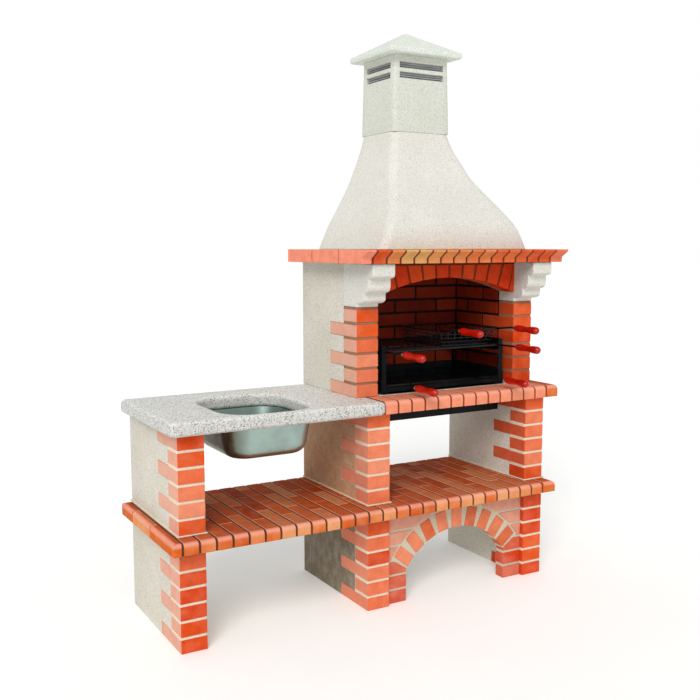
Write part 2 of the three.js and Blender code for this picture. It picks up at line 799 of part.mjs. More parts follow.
// Firebox back: a panel lined with bricks in running bond
function addFireboxBack() {
  const front = liningBack + gap;
  const left = bayLeft + gap;
  const right = rightPier - gap;
  const bottom = ledgeTop + gap;
  const back = front + liningThickness;
  const pitch = liningLength + fireJoint;
  const lining = [block([left, right, front + tightRecess, back, bottom, corniceBottom])];
  for (let z = bottom, k = 0; z + brickHeight / 2 < corniceBottom; z += fireCourse, k += 1) {
    const first = bayMiddle - 2 * pitch + (k % 2 === 0 ? pitch / 2 : 0);
    for (let x = first; x < right; x += pitch) {
      const x0 = Math.max(x + fireJoint / 2, left);
      const x1 = Math.min(x + pitch - fireJoint / 2, right);
      const top = Math.min(z + brickHeight, corniceBottom);
      if (x1 - x0 > fireJoint) lining.push(block([x0, x1, front, back, z, top]));
    }
  }
  add('firebox_back_lining', joined(lining), firebrick);
  add('firebox_back_panel', block([left, right, back + gap, pierDepth, bottom, corniceBottom]), concrete);
}

// Lintel: a segmental arch of wedge bricks in front of a cast beam
function addLintel() {
  const left = bayLeft + gap;
  const right = rightPier - gap;
  const centreZ = corniceBottom - lintelCrownDrop - lintelRadius;
  const half = (right - left) / 2;
  const endAngle = Math.asin(half / lintelRadius);
  const brickBack = fireboxFront + lintelBrickDepth;
  const face = (rise, top) => {
    const shape = new THREE.Shape();
    shape.moveTo(right, top);
    shape.lineTo(left, top);
    const [from, to] = [Math.PI / 2 + endAngle, Math.PI / 2 - endAngle];
    shape.absarc(bayMiddle, centreZ, lintelRadius + rise, from, to, true);
    return shape;
  };
  const pitch = (lintelBrick + fireJoint) / lintelRadius;
  const count = 2 * Math.ceil(half / (lintelBrick + fireJoint));
  const radialTop = corniceBottom - centreZ + overrun;
  const wedges = Array.from({ length: count }, (_, k) => {
    const middle = (k - (count - 1) / 2) * pitch;
    const spread = lintelBrick / 2 / lintelRadius;
    const at = (radius, side) => [
      bayMiddle + radius * Math.sin(middle + side * spread),
      centreZ + radius * Math.cos(middle + side * spread),
    ];
    const shape = outline([
      at(lintelRadius, -1), at(lintelRadius, 1), at(radialTop, 1), at(radialTop, -1),
    ]);
    return alongY(shape, fireboxFront, brickBack);
  });
  const brickRoom = block([left, right, 0, pierDepth, corbelBottom, corniceBottom - fireJoint]);
  const bricks = common(joined(wedges), brickRoom);
  const bed = alongY(face(mortarRecess, corniceBottom), fireboxFront + mortarRecess, brickBack, lintelSteps);
  const room = block([left, right, 0, pierDepth, corbelBottom, corniceTop]);
  add('lintel_bricks', common(joined([bed, bricks]), room), brick);
  const beamBack = fireboxFront + lintelThickness;
  add('lintel_beam', alongY(face(0, corniceBottom), brickBack + gap, beamBack, lintelSteps), concrete);
}

// Cornice: slab with the flue opening, flared front tiles and a row of flat bricks at each side
function addCornice() {
  const bottom = corniceBottom + gap;
  const top = corniceTop;
  const profile = (front, back, drop) => outline([
    [front + corniceFlare, bottom], [back, bottom], [back, top - drop], [front, top - drop],
    [front, top - corniceFascia], [front + corniceFlare, bottom + corniceLip],
  ]);
  const tileBack = corniceFront + brickLength;
  const inner = corniceLeft + corniceLeftEnd;
  const first = inner + fireJoint;
  const outer = corniceRight - corniceRightEnd;
  const pitch = (outer - first) / corniceTiles;
  const width = pitch - fireJoint;
  const bed = profile(corniceFront + mortarRecess, tileBack, tightRecess);
  const parts = [alongX(bed, inner + gap, outer - gap)];
  for (let k = 0; k < corniceTiles; k += 1) {
    const x = first + k * pitch;
    parts.push(alongX(profile(corniceFront, tileBack, 0), x, x + width));
  }
  add('cornice_front_tiles', joined(parts), corniceTile);
  const slab = block([inner + gap, outer - gap, tileBack + gap, corniceBack, bottom, top]);
  add('cornice_slab', cut(slab, [block([
    bayLeft + flueSideInset, rightPier - flueSideInset,
    fireboxFront + lintelThickness + flueFrontInset, liningBack - flueFrontInset, 0, hoodTop,
  ])]), concrete);
  for (const [place, x0, x1] of [['left', corniceLeft, inner], ['right', outer, corniceRight]]) {
    const row = alongX(profile(corniceFront, corniceBack, 0), x0, x1);
    add(`cornice_${place}_bricks`, scored(row, {
      x0, x1, front: corniceFront, back: corniceBack, bottom, top, outerIsLeft: place === 'left',
      length: corniceSideBrick - fireJoint, width: fireJoint, depth: mortarRecess,
    }), corniceTile);
  }
}

// Hood: a hollow shell with a flat upright back, its front and sides drawn in to the stack
function addHood() {
  const bottom = corniceTop + gap;
  const sideRun = (hoodWidth - stackWidth) / 2;
  const frontRun = stackFront - hoodFront;
  const section = ([height, side, front], inset) => ring(
    bayMiddle - stackWidth / 2 - side * sideRun + inset, bayMiddle + stackWidth / 2 + side * sideRun - inset,
    stackFront - front * frontRun + inset, hoodBack - inset,
    hoodCornerRadius, bottom + height * (hoodHeight - gap), 2,
  );
  const outer = hoodShares.map((row) => section(row, 0));
  const inner = hoodShares.map((row) => section(row, hoodWall)).reverse();
  add('hood', loft([...outer, ...inner], false), paleConcrete);
}

// Stack: a square tube drawn in a little to its top, with a blade in each of the slots high on each face, and
// a cap
function addStack() {
  const bottom = hoodTop + gap;
  const middleY = (stackFront + hoodBack) / 2;
  const halfX = stackWidth / 2;
  const halfY = stackDepth / 2;
  const section = (inset, z) => ring(
    bayMiddle - halfX + inset, bayMiddle + halfX - inset, middleY - halfY + inset, middleY + halfY - inset,
    stackCornerRadius, z, 2,
  );
  const tube = loft([
    section(0, bottom), section(stackTaper, stackTop),
    section(stackTaper + stackWall, stackTop), section(stackWall, bottom),
  ], false);
  const slots = [];
  const blades = [];
  const faces = [[0, halfX - ventMarginAcross, halfY], [1, halfY - ventMarginAlong, halfX]];
  for (let row = 0; row < ventCount; row += 1) {
    const top = stackTop - ventDrop - row * (ventHeight + ventBar);
    const middleZ = top - ventHeight / 2;
    for (const [quarter, half, reach] of faces) {
      const slot = block([-half, half, -reach - overrun, reach + overrun, top - ventHeight, top]);
      slots.push(slot.rotateZ(quarter * Math.PI / 2).translate(bayMiddle, middleY, 0));
      for (const turn of [quarter, quarter + 2]) {
        const blade = block([
          -half - bladeSeat, half + bladeSeat, -bladeDepth / 2, bladeDepth / 2,
          -bladeThickness / 2, bladeThickness / 2,
        ]);
        blade.rotateX(THREE.MathUtils.degToRad(bladeTiltDeg));
        blade.translate(0, stackTaper + stackWall / 2 - reach, middleZ);
        blades.push(blade.rotateZ(turn * Math.PI / 2).translate(bayMiddle, middleY, 0));
      }
    }
  }
  add('chimney_stack', joined([cut(tube, slots), ...blades]), paleConcrete);

  const capRing = (overhang, z) => ring(
    bayMiddle - halfX - overhang, bayMiddle + halfX + overhang,
    middleY - halfY - overhang, middleY + halfY + overhang,
    stackCornerRadius, z, 1,
  );
  const capBottom = stackTop + gap;
  const eaves = capBottom + capFascia;
  add('chimney_cap', loft([
    capRing(capOverhang, capBottom), capRing(capOverhang, eaves),
    ring(
      bayMiddle - capTip, bayMiddle + capTip, middleY - capTip, middleY + capTip,
      capTip / 3, eaves + capRise, 1,
    ),
  ], true), paleConcrete);
}

// Insert box: a well that hangs through the ledge from a flange, with low walls at the sides and the back
function addInsertBox() {
  const bottom = ledgeBottom - wellHang;
  const lip = ledgeTop + gap;
  const well = [wellLeft, wellRight, insertFront, insertBack, bottom, lip];
  const inside = [
    wellLeft + sheet, wellRight - sheet, insertFront + sheet, insertBack - sheet, bottom + sheet, corniceTop,
  ];
  const walls = [insertLeft, insertRight, insertFront, insertBack, lip, insertTop];
  const room = [
    insertLeft + sheet, insertRight - sheet, -overrun, insertBack - sheet, lip + sheet, corniceTop,
  ];
  const flange = [insertLeft, insertRight, insertFront - insertFlange, insertBack, lip, lip + sheet];
  const upper = joined([cut(block(walls), [block(room)]), block(flange)]);
  add('insert_box', cut(joined([block(well), upper]), [block(inside)]), blackSteel);
}

// Side frames: plates with two windows, a front post, and rails that carry the tray and the rack
function addInsertFrame(place, inward, wallX) {
  const x0 = wallX + inward * gap;
  const front = insertFront + sheet + gap;
  const back = insertBack - sheet - gap;
  const span = (a, b) => [Math.min(a, b), Math.max(a, b)];
  const top = frameBottom + frameHeight;
  const plate = outline([[front, frameBottom], [back, frameBottom], [back, top], [front, top]]);
  for (const [low, high] of [[lowerWindowBottom, lowerWindowTop], [upperWindowBottom, upperWindowTop]]) {
    const y0 = front + windowMargin;
    const y1 = back - windowMargin;
    const z0 = frameBottom + low;
    const z1 = frameBottom + high;
    const corners = [[y0, z0], [y1, z0], [y1, z1], [y0, z1]];
    plate.holes.push(new THREE.Path(corners.map(([y, z]) => new THREE.Vector2(y, z))));
  }
  const parts = [alongX(plate, ...span(x0, x0 + inward * frameThickness))];
  parts.push(block([...span(x0, x0 + inward * postWidth), front, front + frameThickness, frameBottom, top]));
  for (const height of [trayLift, lowerRail, upperRail, rackLevel - gap]) {
    const level = frameBottom + height;
    parts.push(block([...span(x0, x0 + inward * railReach), front, back, level - railThickness, level]));
  }
  add(`insert_${place}_frame`, joined(parts), blackSteel);
}

// A rod that carries a grip: from its root to a knee in line with the grip, then through a collar and into it
const gripDroop = THREE.MathUtils.degToRad(gripDroopDeg);
const gripDirection = new THREE.Vector3(0, -Math.cos(gripDroop), -Math.sin(gripDroop));

function handleRod(root, base) {
  const at = (along) => base.clone().addScaledVector(gripDirection, along);
  const knee = at(-kneeLength);
  return [
    bar(root, knee, handleRodRadius, rodSides),
    new THREE.SphereGeometry(handleRodRadius, rodSides, rodSides / 2).translate(knee.x, knee.y, knee.z),
    bar(knee, at(gripBoreDepth - 2 * gap), handleRodRadius, rodSides),
    bar(at(-collarLength - gap), at(-gap), collarRadius, gripSides),
  ];
}

function addGrip(name, base) {
  const bore = handleRodRadius + gap;
  const profile = [
    [0, gripBoreDepth], [bore, gripBoreDepth], [bore, 0],
    ...gripShares.map(([along, radius]) => [radius * gripRadius, along * gripLength]),
    [0, gripLength],
  ];
  const rows = profile.map(([r, along]) => new THREE.Vector2(r, along));
  const geometry = new THREE.LatheGeometry(rows, gripSides);
  const turn = new THREE.Quaternion().setFromUnitVectors(axisY, gripDirection);
  add(name, geometry.applyQuaternion(turn).translate(base.x, base.y, base.z), redWood);
}

// Charcoal tray: a shallow pan with ash slots, a round front bar and two grips
function addTray() {
  const top = trayBottom + trayHeight;
  const tools = [block([
    trackLeft + sheet, trackRight - sheet, trayFront + sheet, trayBack - sheet,
    trayBottom + sheet, top + overrun,
  ])];
  const slotPitch = (trackRight - trackLeft) / (traySlotCount + 1);
  for (let k = 1; k <= traySlotCount; k += 1) {
    const x = trackLeft + k * slotPitch;
    tools.push(block([
      x - traySlotWidth / 2, x + traySlotWidth / 2, trayFront + traySlotMargin, trayBack - traySlotMargin,
      trayBottom - overrun, trayBottom + overrun,
    ]));
  }
  const barZ = top - trayBarRadius / 2;
  const parts = [
    cut(block([trackLeft, trackRight, trayFront, trayBack, trayBottom, top]), tools),
    bar(point(trackLeft, trayFront, barZ), point(trackRight, trayFront, barZ), trayBarRadius, rodSides),
  ];
  for (const [place, end, inward] of [['left', trackLeft, 1], ['right', trackRight, -1]]) {
    const root = point(end + inward * trayRootInset, trayFront, barZ);
    const base = point(end + inward * trayHandleInset, gripStart, barZ + trayHandleRise);
    parts.push(...handleRod(root, base));
    addGrip(`tray_${place}_grip`, base);
  }
  add('charcoal_tray', joined(parts), blackSteel);
}

// Grill rack: a round-bar frame with wires front to back and a cross wire under them
function addRack() {
  const left = trackLeft + rackRodRadius;
  const right = trackRight - rackRodRadius;
  const z = rackZ;
  const rod = (x0, y0, x1, y1) => bar(point(x0, y0, z), point(x1, y1, z), rackRodRadius, rodSides);
  const parts = [
    rod(trackLeft, rackFront, trackRight, rackFront), rod(trackLeft, rackBack, trackRight, rackBack),
    rod(left, rackFront, left, rackBack), rod(right, rackFront, right, rackBack),
  ];
  const pitch = (right - left) / (rackWireCount + 1);
  for (let k = 1; k <= rackWireCount; k += 1) {
    const x = left + k * pitch;
    parts.push(bar(point(x, rackFront, z), point(x, rackBack, z), rackWireRadius, wireSides));
  }
  const crossY = (rackFront + rackBack) / 2;
  const crossZ = z - rackRodRadius + rackCrossRadius;
  parts.push(bar(point(left, crossY, crossZ), point(right, crossY, crossZ), rackCrossRadius, wireSides));
  for (const [place, x, base] of [['left', left, trackLeft], ['right', right, trackRight]]) {
    const start = point(base, gripStart, z + rackHandleRise);
    parts.push(...handleRod(point(x, rackFront, z), start));
    addGrip(`rack_${place}_grip`, start);
  }
  add('grill_rack', joined(parts), wire);
}

// Basket grill: a small raised grill with open wire sides that stands on the right half of the rack
function addBasket() {
  const floorZ = rackZ + rackWireRadius + gap + basketLoopRadius * Math.cos(Math.PI / wireSides);
  const x1 = trackRight - basketSideMargin;
  const x0 = x1 - basketWidth;
  const y0 = rackFront;
  const y1 = rackBack - basketBackInset;
  const corners = (share) => {
    const inset = (1 - share) * basketFlare;
    const z = floorZ + share * basketHeight;
    return [
      point(x0 + inset, y0 + inset, z), point(x1 - inset, y0 + inset, z),
      point(x1 - inset, y1 - inset, z), point(x0 + inset, y1 - inset, z),
    ];
  };
  const loop = (share, radius) => corners(share).map(
    (corner, i, all) => bar(corner, all[(i + 1) % 4], radius, wireSides),
  );
  const floor = corners(0);
  const rim = corners(1);
  const parts = [...loop(0, basketLoopRadius), ...loop(1, basketRimRadius)];
  for (let k = 1; k <= basketSideWires; k += 1) {
    parts.push(...loop(k / (basketSideWires + 1), basketWireRadius));
  }
  for (let i = 0; i < floor.length; i += 1) {
    parts.push(bar(floor[i], rim[i], basketPostRadius, wireSides));
    const knot = new THREE.SphereGeometry(basketKnotRadius, rodSides, rodSides / 2);
    parts.push(knot.translate(...rim[i].toArray()));
  }
  for (let k = 1; k <= basketFloorWires; k += 1) {
    const share = k / (basketFloorWires + 1);
    const from = floor[0].clone().lerp(floor[1], share);
    const to = floor[3].clone().lerp(floor[2], share);
    parts.push(bar(from, to, basketWireRadius, wireSides));
  }
  for (const [place, root] of [['left', rim[0]], ['right', rim[1]]]) {
    const base = point(root.x, gripStart, root.z + basketHandleRise);
    parts.push(...handleRod(root, base));
    addGrip(`basket_${place}_grip`, base);
  }
  add('basket_grill', joined(parts), wire);
}

addPier('left', 0);
addPier('centre', centrePier);
addPier('right', rightPier);
addArch();
addShelf();
addWorktop();
addSink();
addLedge();
addFireboxSide('left', centrePier, true);
addFireboxSide('right', rightPier, false);
addFireboxBack();
addLintel();
addCornice();
addHood();
addStack();
addInsertBox();
addInsertFrame('left', 1, insertLeft + sheet);
addInsertFrame('right', -1, insertRight - sheet);
addTray();
addRack();
addBasket();

// The origin goes to the middle of the footprint, on the ground
const bounds = new THREE.Box3().setFromObject(barbecue);
const middle = bounds.getCenter(new THREE.Vector3());
barbecue.position.set(-middle.x, -middle.y, 0);

export default barbecue;
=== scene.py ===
"""Looks of the outdoor masonry barbecue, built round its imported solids.

Metres, +X to the right, +Y to the back, +Z up, as in the frame. Bricks and tiles are blocks of eight corners
or outlines carried along an axis, shells and stone are grids of two parameters, and rods are circles carried
along a path.
"""
import math

import bmesh
import bpy
import numpy as np
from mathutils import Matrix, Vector


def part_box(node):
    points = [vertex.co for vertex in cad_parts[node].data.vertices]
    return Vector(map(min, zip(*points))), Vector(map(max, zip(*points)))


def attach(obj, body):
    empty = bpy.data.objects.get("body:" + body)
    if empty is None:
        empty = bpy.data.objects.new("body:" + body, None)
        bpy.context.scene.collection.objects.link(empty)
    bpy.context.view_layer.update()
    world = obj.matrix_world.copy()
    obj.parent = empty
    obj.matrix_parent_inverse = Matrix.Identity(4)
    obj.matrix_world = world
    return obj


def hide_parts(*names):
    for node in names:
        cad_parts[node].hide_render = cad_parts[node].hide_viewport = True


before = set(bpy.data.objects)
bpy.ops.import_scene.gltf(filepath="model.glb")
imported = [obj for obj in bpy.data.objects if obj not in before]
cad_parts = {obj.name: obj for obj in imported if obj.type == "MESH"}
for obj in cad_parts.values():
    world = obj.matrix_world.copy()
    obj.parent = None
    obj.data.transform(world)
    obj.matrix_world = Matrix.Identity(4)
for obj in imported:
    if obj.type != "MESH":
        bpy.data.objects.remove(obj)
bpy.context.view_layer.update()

bl_info = {
    "name": "Masonry Barbecue",
    "version": (1, 0, 0),
    "blender": (4, 5, 0),
    "location": "3D View > Sidebar > Barbecue",
    "description": "Builds the bricks, tiles, stone, steel and grips of an outdoor masonry barbecue",
    "category": "Object",
}

PLACES = ("left", "centre", "right")
SIDES = ("left", "right")


def srgb(code):
    """Linear red, green and blue of a hexadecimal colour."""
    parts = np.array([int(code[i:i + 2], 16) for i in (0, 2, 4)]) / 255
    return tuple(np.where(parts <= 0.04045, parts / 12.92, ((parts + 0.055) / 1.055) ** 2.4))


def low_high(node):
    """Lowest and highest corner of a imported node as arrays."""
    low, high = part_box(node)
    return np.array(low), np.array(high)


def size(metres, description):
    """A length property in metres."""
    return bpy.props.FloatProperty(default=metres, min=0, unit="LENGTH", description=description)


def degrees(value, description):
    """An angle property from degrees."""
    return bpy.props.FloatProperty(default=math.radians(value), subtype="ANGLE", description=description)


def plain_number(value, description):
    """A property for a number that isn't a length."""
    return bpy.props.FloatProperty(default=value, min=0, description=description)


def whole_number(value, description):
    """A property for a whole number."""
    return bpy.props.IntProperty(default=value, min=1, description=description)


def colour(code, description):
    """A colour property from a hexadecimal code."""
    return bpy.props.FloatVectorProperty(
        default=srgb(code), min=0, max=1, size=3, subtype="COLOR", description=description)


def vector(values, kind, description):
    """A property for a place or a direction."""
    return bpy.props.FloatVectorProperty(default=values, subtype=kind, description=description)


class BrickSizes(bpy.types.PropertyGroup):
    """Facing bricks, their joints and their wear."""
    length: size(0.21, "Length of a facing brick")
    width: size(0.10, "Width of a facing brick")
    height: size(0.05, "Height of a brick")
    joint: size(0.01, "Mortar joint of the base")
    fire_joint: size(0.009, "Mortar joint of the firebox and the cornice")
    first_bed: size(0.0037, "Mortar under the lowest brick on the shelf")
    recess: size(0.004, "Depth of the mortar behind the brick faces")
    tight_recess: size(0.002, "Depth of the mortar behind the faces of tiles and lining")
    worn_edge: size(0.0022, "Rounding of the edges")
    wobble: size(0.0006, "How far a corner is out of place")
    relief: size(0.0012, "Unevenness of the mortar")
    squeeze: size(0.0065, "How far the bed under the upper walls stands out")
    back_length: size(0.217, "Length of a brick of the firebox's back")
    coarse_cell: size(0.012, "Cells of the mortar behind the lining")
    courses: whole_number(6, "Courses of each pier")


class TileSizes(bpy.types.PropertyGroup):
    """Nosed tiles of the shelf and the ledge."""
    length: size(0.2, "Length of a tile behind the nosed one")
    offset: size(0.075, "How much shorter every second nosed tile is")
    shift: size(0.01, "How far a joint across a row is out of line")
    joint: size(0.008, "Joint between the rows")
    tight_joint: size(0.001, "Joint across a row")
    thickness: size(0.025, "Thickness of a tile behind its nose")
    nose_depth: size(0.06, "Depth of the part that hangs down in front")
    nose_radius: size(0.018, "Rounding of the nose")
    shelf_pitch: size(0.0615, "Distance from row to row of the shelf")
    ledge_pitch: size(0.0625, "Distance from tile to tile of the ledge")
    shelf_end: size(0.257, "Length of a brick at the shelf's ends")
    arc_steps: whole_number(7, "Steps of a rounded nose")


class ArchSizes(bpy.types.PropertyGroup):
    """Arch of the log store and segmental arch of the lintel."""
    radius: size(0.293, "Radius of the arch's underside")
    rise: size(0.267, "Height of the crown over the ground")
    leg: size(0.091, "Width of a leg")
    wedge: size(0.082, "Length of a wedge brick")
    pitch: degrees(12.7, "Angle from wedge to wedge")
    count: whole_number(9, "Bricks in the ring")
    crown_half: size(0.04, "Half of the plain stretch over the crown")
    lintel_radius: size(0.88, "Radius of the lintel's underside")
    lintel_drop: size(0.061, "Height of the lintel at its crown")
    lintel_brick: size(0.055, "Width of a lintel brick at the underside")


class StoneSizes(bpy.types.PropertyGroup):
    """Worktop, sink, cornice, hood, stack and cap."""
    edge_radius: size(0.016, "Rounding of the worktop's edges")
    corner_radius: size(0.028, "Corners of the worktop in plan")
    hole_half_x: size(0.176, "Half of the sink cut-out along X")
    hole_half_y: size(0.2, "Half of the sink cut-out along Y")
    hole_radius: size(0.108, "Corners of the sink cut-out")
    bowl_radius: size(0.102, "Corners of the bowl at its rim")
    bowl_flange: size(0.018, "Flange of the bowl under the stone")
    bowl_taper: size(0.014, "How much the bowl draws in above its rounded foot")
    bowl_foot: size(0.046, "Rounding between the bowl's walls and floor")
    bowl_sheet: size(0.0015, "Thickness of the pressed steel")
    drain_radius: size(0.022, "Radius of the bowl's drain hole")
    cornice_pitch: size(0.062, "Distance from tile to tile of the cornice")
    cornice_flare: size(0.037, "How far the cornice leans out to its top")
    cornice_lip: size(0.02, "Upright lip at the cornice's foot")
    cornice_fascia: size(0.008, "Upright band at the cornice's top")
    cornice_side: size(0.218, "Distance from brick to brick at the cornice's sides")
    hood_wall: size(0.032, "Thickness of the hood")
    hood_corner: size(0.034, "Rounding of the hood's corners")
    stack_wall: size(0.026, "Thickness of the stack")
    stack_taper: size(0.006, "How much the stack draws in to its top")
    stack_corner: size(0.014, "Rounding of the stack's corners")
    vent_across: size(0.22, "Width of a vent slot in front and at the back")
    vent_along: size(0.19, "Width of a vent slot at the sides")
    vent_height: size(0.025, "Height of a vent slot")
    vent_bar: size(0.016, "Height of the bar between two slots")
    vent_drop: size(0.028, "Distance of the upper slot from the stack's top")
    blade_depth: size(0.015, "Depth of a vent blade")
    blade_sheet: size(0.002, "Thickness of a vent blade")
    blade_lap: size(0.003, "How far a blade goes into the wall beside its slot")
    blade_tilt: degrees(38, "Slope of the vent blades")
    cap_fascia: size(0.025, "Height of the cap's upright edge")
    cap_tip: size(0.014, "Half width of the cap's tip")
    cap_rounding: size(0.006, "Rounding of the cap's corners and of its upper edge")
    cap_foot: size(0.004, "Height at which the cap reaches its full width")
    corbel_wear: size(0.004, "Rounding of the corbels' edges")
    hood_wear: size(0.003, "Rounding of the hood's edges")
    stack_wear: size(0.002, "Rounding of the edges of the stack and the cap")
    blade_wear: size(0.0005, "Rounding of the vent blades' edges")


class SteelSizes(bpy.types.PropertyGroup):
    """Steel insert, tray, grills, rods and grips."""
    sheet: size(0.002, "Thickness of the tray's sheet")
    steel_wear: size(0.0006, "Rounding of the edges of the insert and its frames")
    sheet_wear: size(0.0004, "Rounding of the tray's edges")
    bore_play: size(0.0003, "Play of the rod in a grip")
    tray_height: size(0.028, "Height of the tray's walls")
    tray_clearance: size(0.0027, "Distance of the tray behind the front of the side frames")
    tray_handle: size(0.166, "Distance of a tray handle from the middle")
    bend: size(0.012, "Length of a bend of the rods")
    rack_depth: size(0.34, "Depth of the rack between the middles of its rods")
    cross_wire: size(0.0031, "Radius of the wire across the rack")
    cross_drop: size(0.0009, "How far the wire across the rack lies under the others")
    basket_bend: size(0.008, "Length of a bend of the basket's loops")
    basket_height: size(0.064, "Height of the basket's rim over its floor")
    basket_margin: size(0.0042, "Room at the basket's sides for its wires")
    rod: size(0.004, "Radius of the rods that carry the grips")
    rack_rod: size(0.004, "Radius of the rack's frame")
    rack_wire: size(0.0024, "Radius of the rack's wires")
    rim_wire: size(0.003, "Radius of the basket's rim")
    loop_wire: size(0.0026, "Radius of the basket's lower loop")
    basket_wire: size(0.0017, "Radius of the basket's thin wires")
    tray_bar: size(0.005, "Radius of the tray's rolled front edge")
    slot_width: size(0.009, "Width of an ash slot")
    slot_margin: size(0.042, "Distance of the ash slots from the tray's ends")
    slots: whole_number(7, "Ash slots in the tray")
    rack_wires: whole_number(15, "Wires of the rack")
    basket_wires: whole_number(7, "Wires of the basket floor")
    basket_flare: size(0.024, "How far the basket's sides lean out")
    grip_length: size(0.14, "Length of a wooden grip")
    grip_radius: size(0.0155, "Largest radius of a wooden grip")
    grip_droop: degrees(1, "Slope of the grips")
    knee: size(0.026, "Straight stretch of rod behind a grip")
    collar_radius: size(0.0085, "Radius of the ferrule behind a grip")
    collar_length: size(0.012, "Length of the ferrule behind a grip")


class Colours(bpy.types.PropertyGroup):
    """Colours of the finishes."""
    brick_dark: colour("d03a04", "Darkest facing brick")
    brick: colour("e0581f", "Facing brick")
    brick_light: colour("ea8f6c", "Lightest facing brick")
    arch_brick: colour("cf6a42", "Dusty brick of the arch")
    haunch: colour("d6927a", "Dusty bricks beside the arch")
    # Painted shade: the sides of the right hand bricks are coloured a deeper red for the shade on them.
    deep_brick: colour("bf3a10", "Sides of the right hand bricks")
    # This paler tint on the sides of the bricks is cement bloom and partly painted light on the lit sides.
    bloom: colour("e0ae99", "Cement film on the cast sides of the bricks")
    side_brick: colour("f39378", "Bricks at the left side of the cornice")
    tile_dark: colour("962a00", "Darkest tile")
    tile: colour("d4601c", "Tile")
    tile_light: colour("eab27c", "Lightest tile")
    # Painted shade: the level faces of the shelf tiles, under the worktop, are coloured darker.
    tread: colour("a43800", "Level faces of the shelf tiles")
    # Painted highlight: the rounded noses of the tiles are coloured pale salmon for the shine on them.
    rim: colour("f7b09c", "Dusty rounding of the tiles")
    lintel: colour("d93608", "Bricks of the lintel")
    cornice_dark: colour("dd4a1e", "Reddest cornice tile")
    cornice: colour("e27a42", "Cornice tile")
    cornice_light: colour("dda868", "Palest cornice tile")
    fire_dark: colour("74200e", "Darkest firebrick")
    fire: colour("a02a10", "Firebrick")
    fire_light: colour("bc3c14", "Lightest firebrick")
    mortar: colour("ead9c4", "Cream mortar of the base")
    arch_mortar: colour("cfc5ae", "Grey mortar of the arch")
    fire_mortar: colour("a07258", "Mortar between the firebox bricks")
    dark_mortar: colour("54301f", "Mortar between tiles")
    red_mortar: colour("7e351a", "Mortar of the cornice and the lintel")
    soot: colour("1c100c", "Mortar of the lining")
    concrete: colour("d2cec3", "Washed concrete of the panels")
    pale_concrete: colour("d9d8d0", "Hood and corbels")
    stack: colour("cfd2c7", "Stack")
    cap: colour("c9d1c7", "Cap")
    granite: colour("e3e4de", "Worktop")
    black: colour("03080b", "Insert and tray")
    wire: colour("2b2f31", "Rack and basket")
    louvre: colour("b4b6b8", "Vent blades")
    steel: colour("95a8a1", "Pressed bowl")
    ferrule: colour("c9c2b8", "Ferrules of the grips and the strainer")
    grip: colour("b01404", "Lacquer of the grips")
    floor: colour("fafaf8", "Studio floor")


class StudioSettings(bpy.types.PropertyGroup):
    """Camera and light."""
    eye: vector((-1.8501, -3.1584, 1.4209), "TRANSLATION", "Place of the camera")
    yaw: degrees(30.2, "Turn from +Y towards +X")
    pitch: degrees(6.5, "Tilt below the horizon")
    lens: plain_number(46.98, "Focal length in millimetres")
    sky: plain_number(0.62, "Strength of the even light")
    backdrop: plain_number(1.0, "Brightness behind the object")
    glow: plain_number(0.12, "Light that the floor gives off itself")
    key: plain_number(1.9, "Main light from the left")
    key_direction: vector((0.52, 0.62, -0.59), "DIRECTION", "Way the main light goes")
    softness: degrees(28, "Apparent size of the main light")


class BarbecueSettings(bpy.types.PropertyGroup):
    """Everything that a user would change."""
    bricks: bpy.props.PointerProperty(type=BrickSizes)
    tiles: bpy.props.PointerProperty(type=TileSizes)
    arch: bpy.props.PointerProperty(type=ArchSizes)
    stone: bpy.props.PointerProperty(type=StoneSizes)
    steel: bpy.props.PointerProperty(type=SteelSizes)
    colours: bpy.props.PointerProperty(type=Colours)
    studio: bpy.props.PointerProperty(type=StudioSettings)


def settings():
    """The scene's settings."""
    return bpy.context.scene.barbecue


# Shapes. A shape is (points, vertex numbers of its faces, corners of each face, tone of each point)
BLOCK_FACES = np.array([[0, 3, 2, 1], [4, 5, 6, 7], [0, 1, 5, 4], [1, 2, 6, 5], [2, 3, 7, 6], [3, 0, 4, 7]])
CORNER_PICK = np.array([[x, y, z] for z in (0, 1) for x, y in ((0, 0), (1, 0), (1, 1), (0, 1))])
PLAIN = 0.5  # Tone of a piece whose parts all have one colour
MOST_CELLS = 80  # Cells along one side of a mortar face
MOST_EASED = 0.49  # Share of a stretch of path that a bend may take
HEART = 1e-3  # Share that stands for the middle of a ring, and the least step in metres


def merged(shapes):
    """Several shapes as one."""
    points, loops, sizes, tones = zip(*shapes)
    starts = np.cumsum([0] + [len(each) for each in points[:-1]])
    loops = np.concatenate([part + start for part, start in zip(loops, starts)])
    return np.concatenate(points), loops, np.concatenate(sizes), np.concatenate(tones)


def rows_of(x, y, z):
    """Points from a number or a row of numbers for each axis."""
    return np.stack(np.broadcast_arrays(x, y, z), -1).astype(float)


def box_corners(low, high):
    """Eight corners of each box: low or high along every axis, the four of the base first."""
    low, high = np.broadcast_arrays(np.atleast_2d(low), np.atleast_2d(high))
    return np.where(CORNER_PICK[None], high[:, None], low[:, None]).astype(float)


def blocks(corners, tones, rng=None, wobble=0.0):
    """Blocks of eight corners, each drawn in towards its block's middle by a random share of the wobble."""
    corners = np.array(corners, float)
    if rng is not None:
        inward = np.sign(corners.mean(1, keepdims=True) - corners)
        corners += inward * rng.uniform(0, wobble, corners.shape)
    faces = BLOCK_FACES[None] + 8 * np.arange(len(corners))[:, None, None]
    tone = np.repeat(np.broadcast_to(tones, len(corners)), 8)
    return corners.reshape(-1, 3), faces.reshape(-1), np.full(6 * len(corners), 4), tone


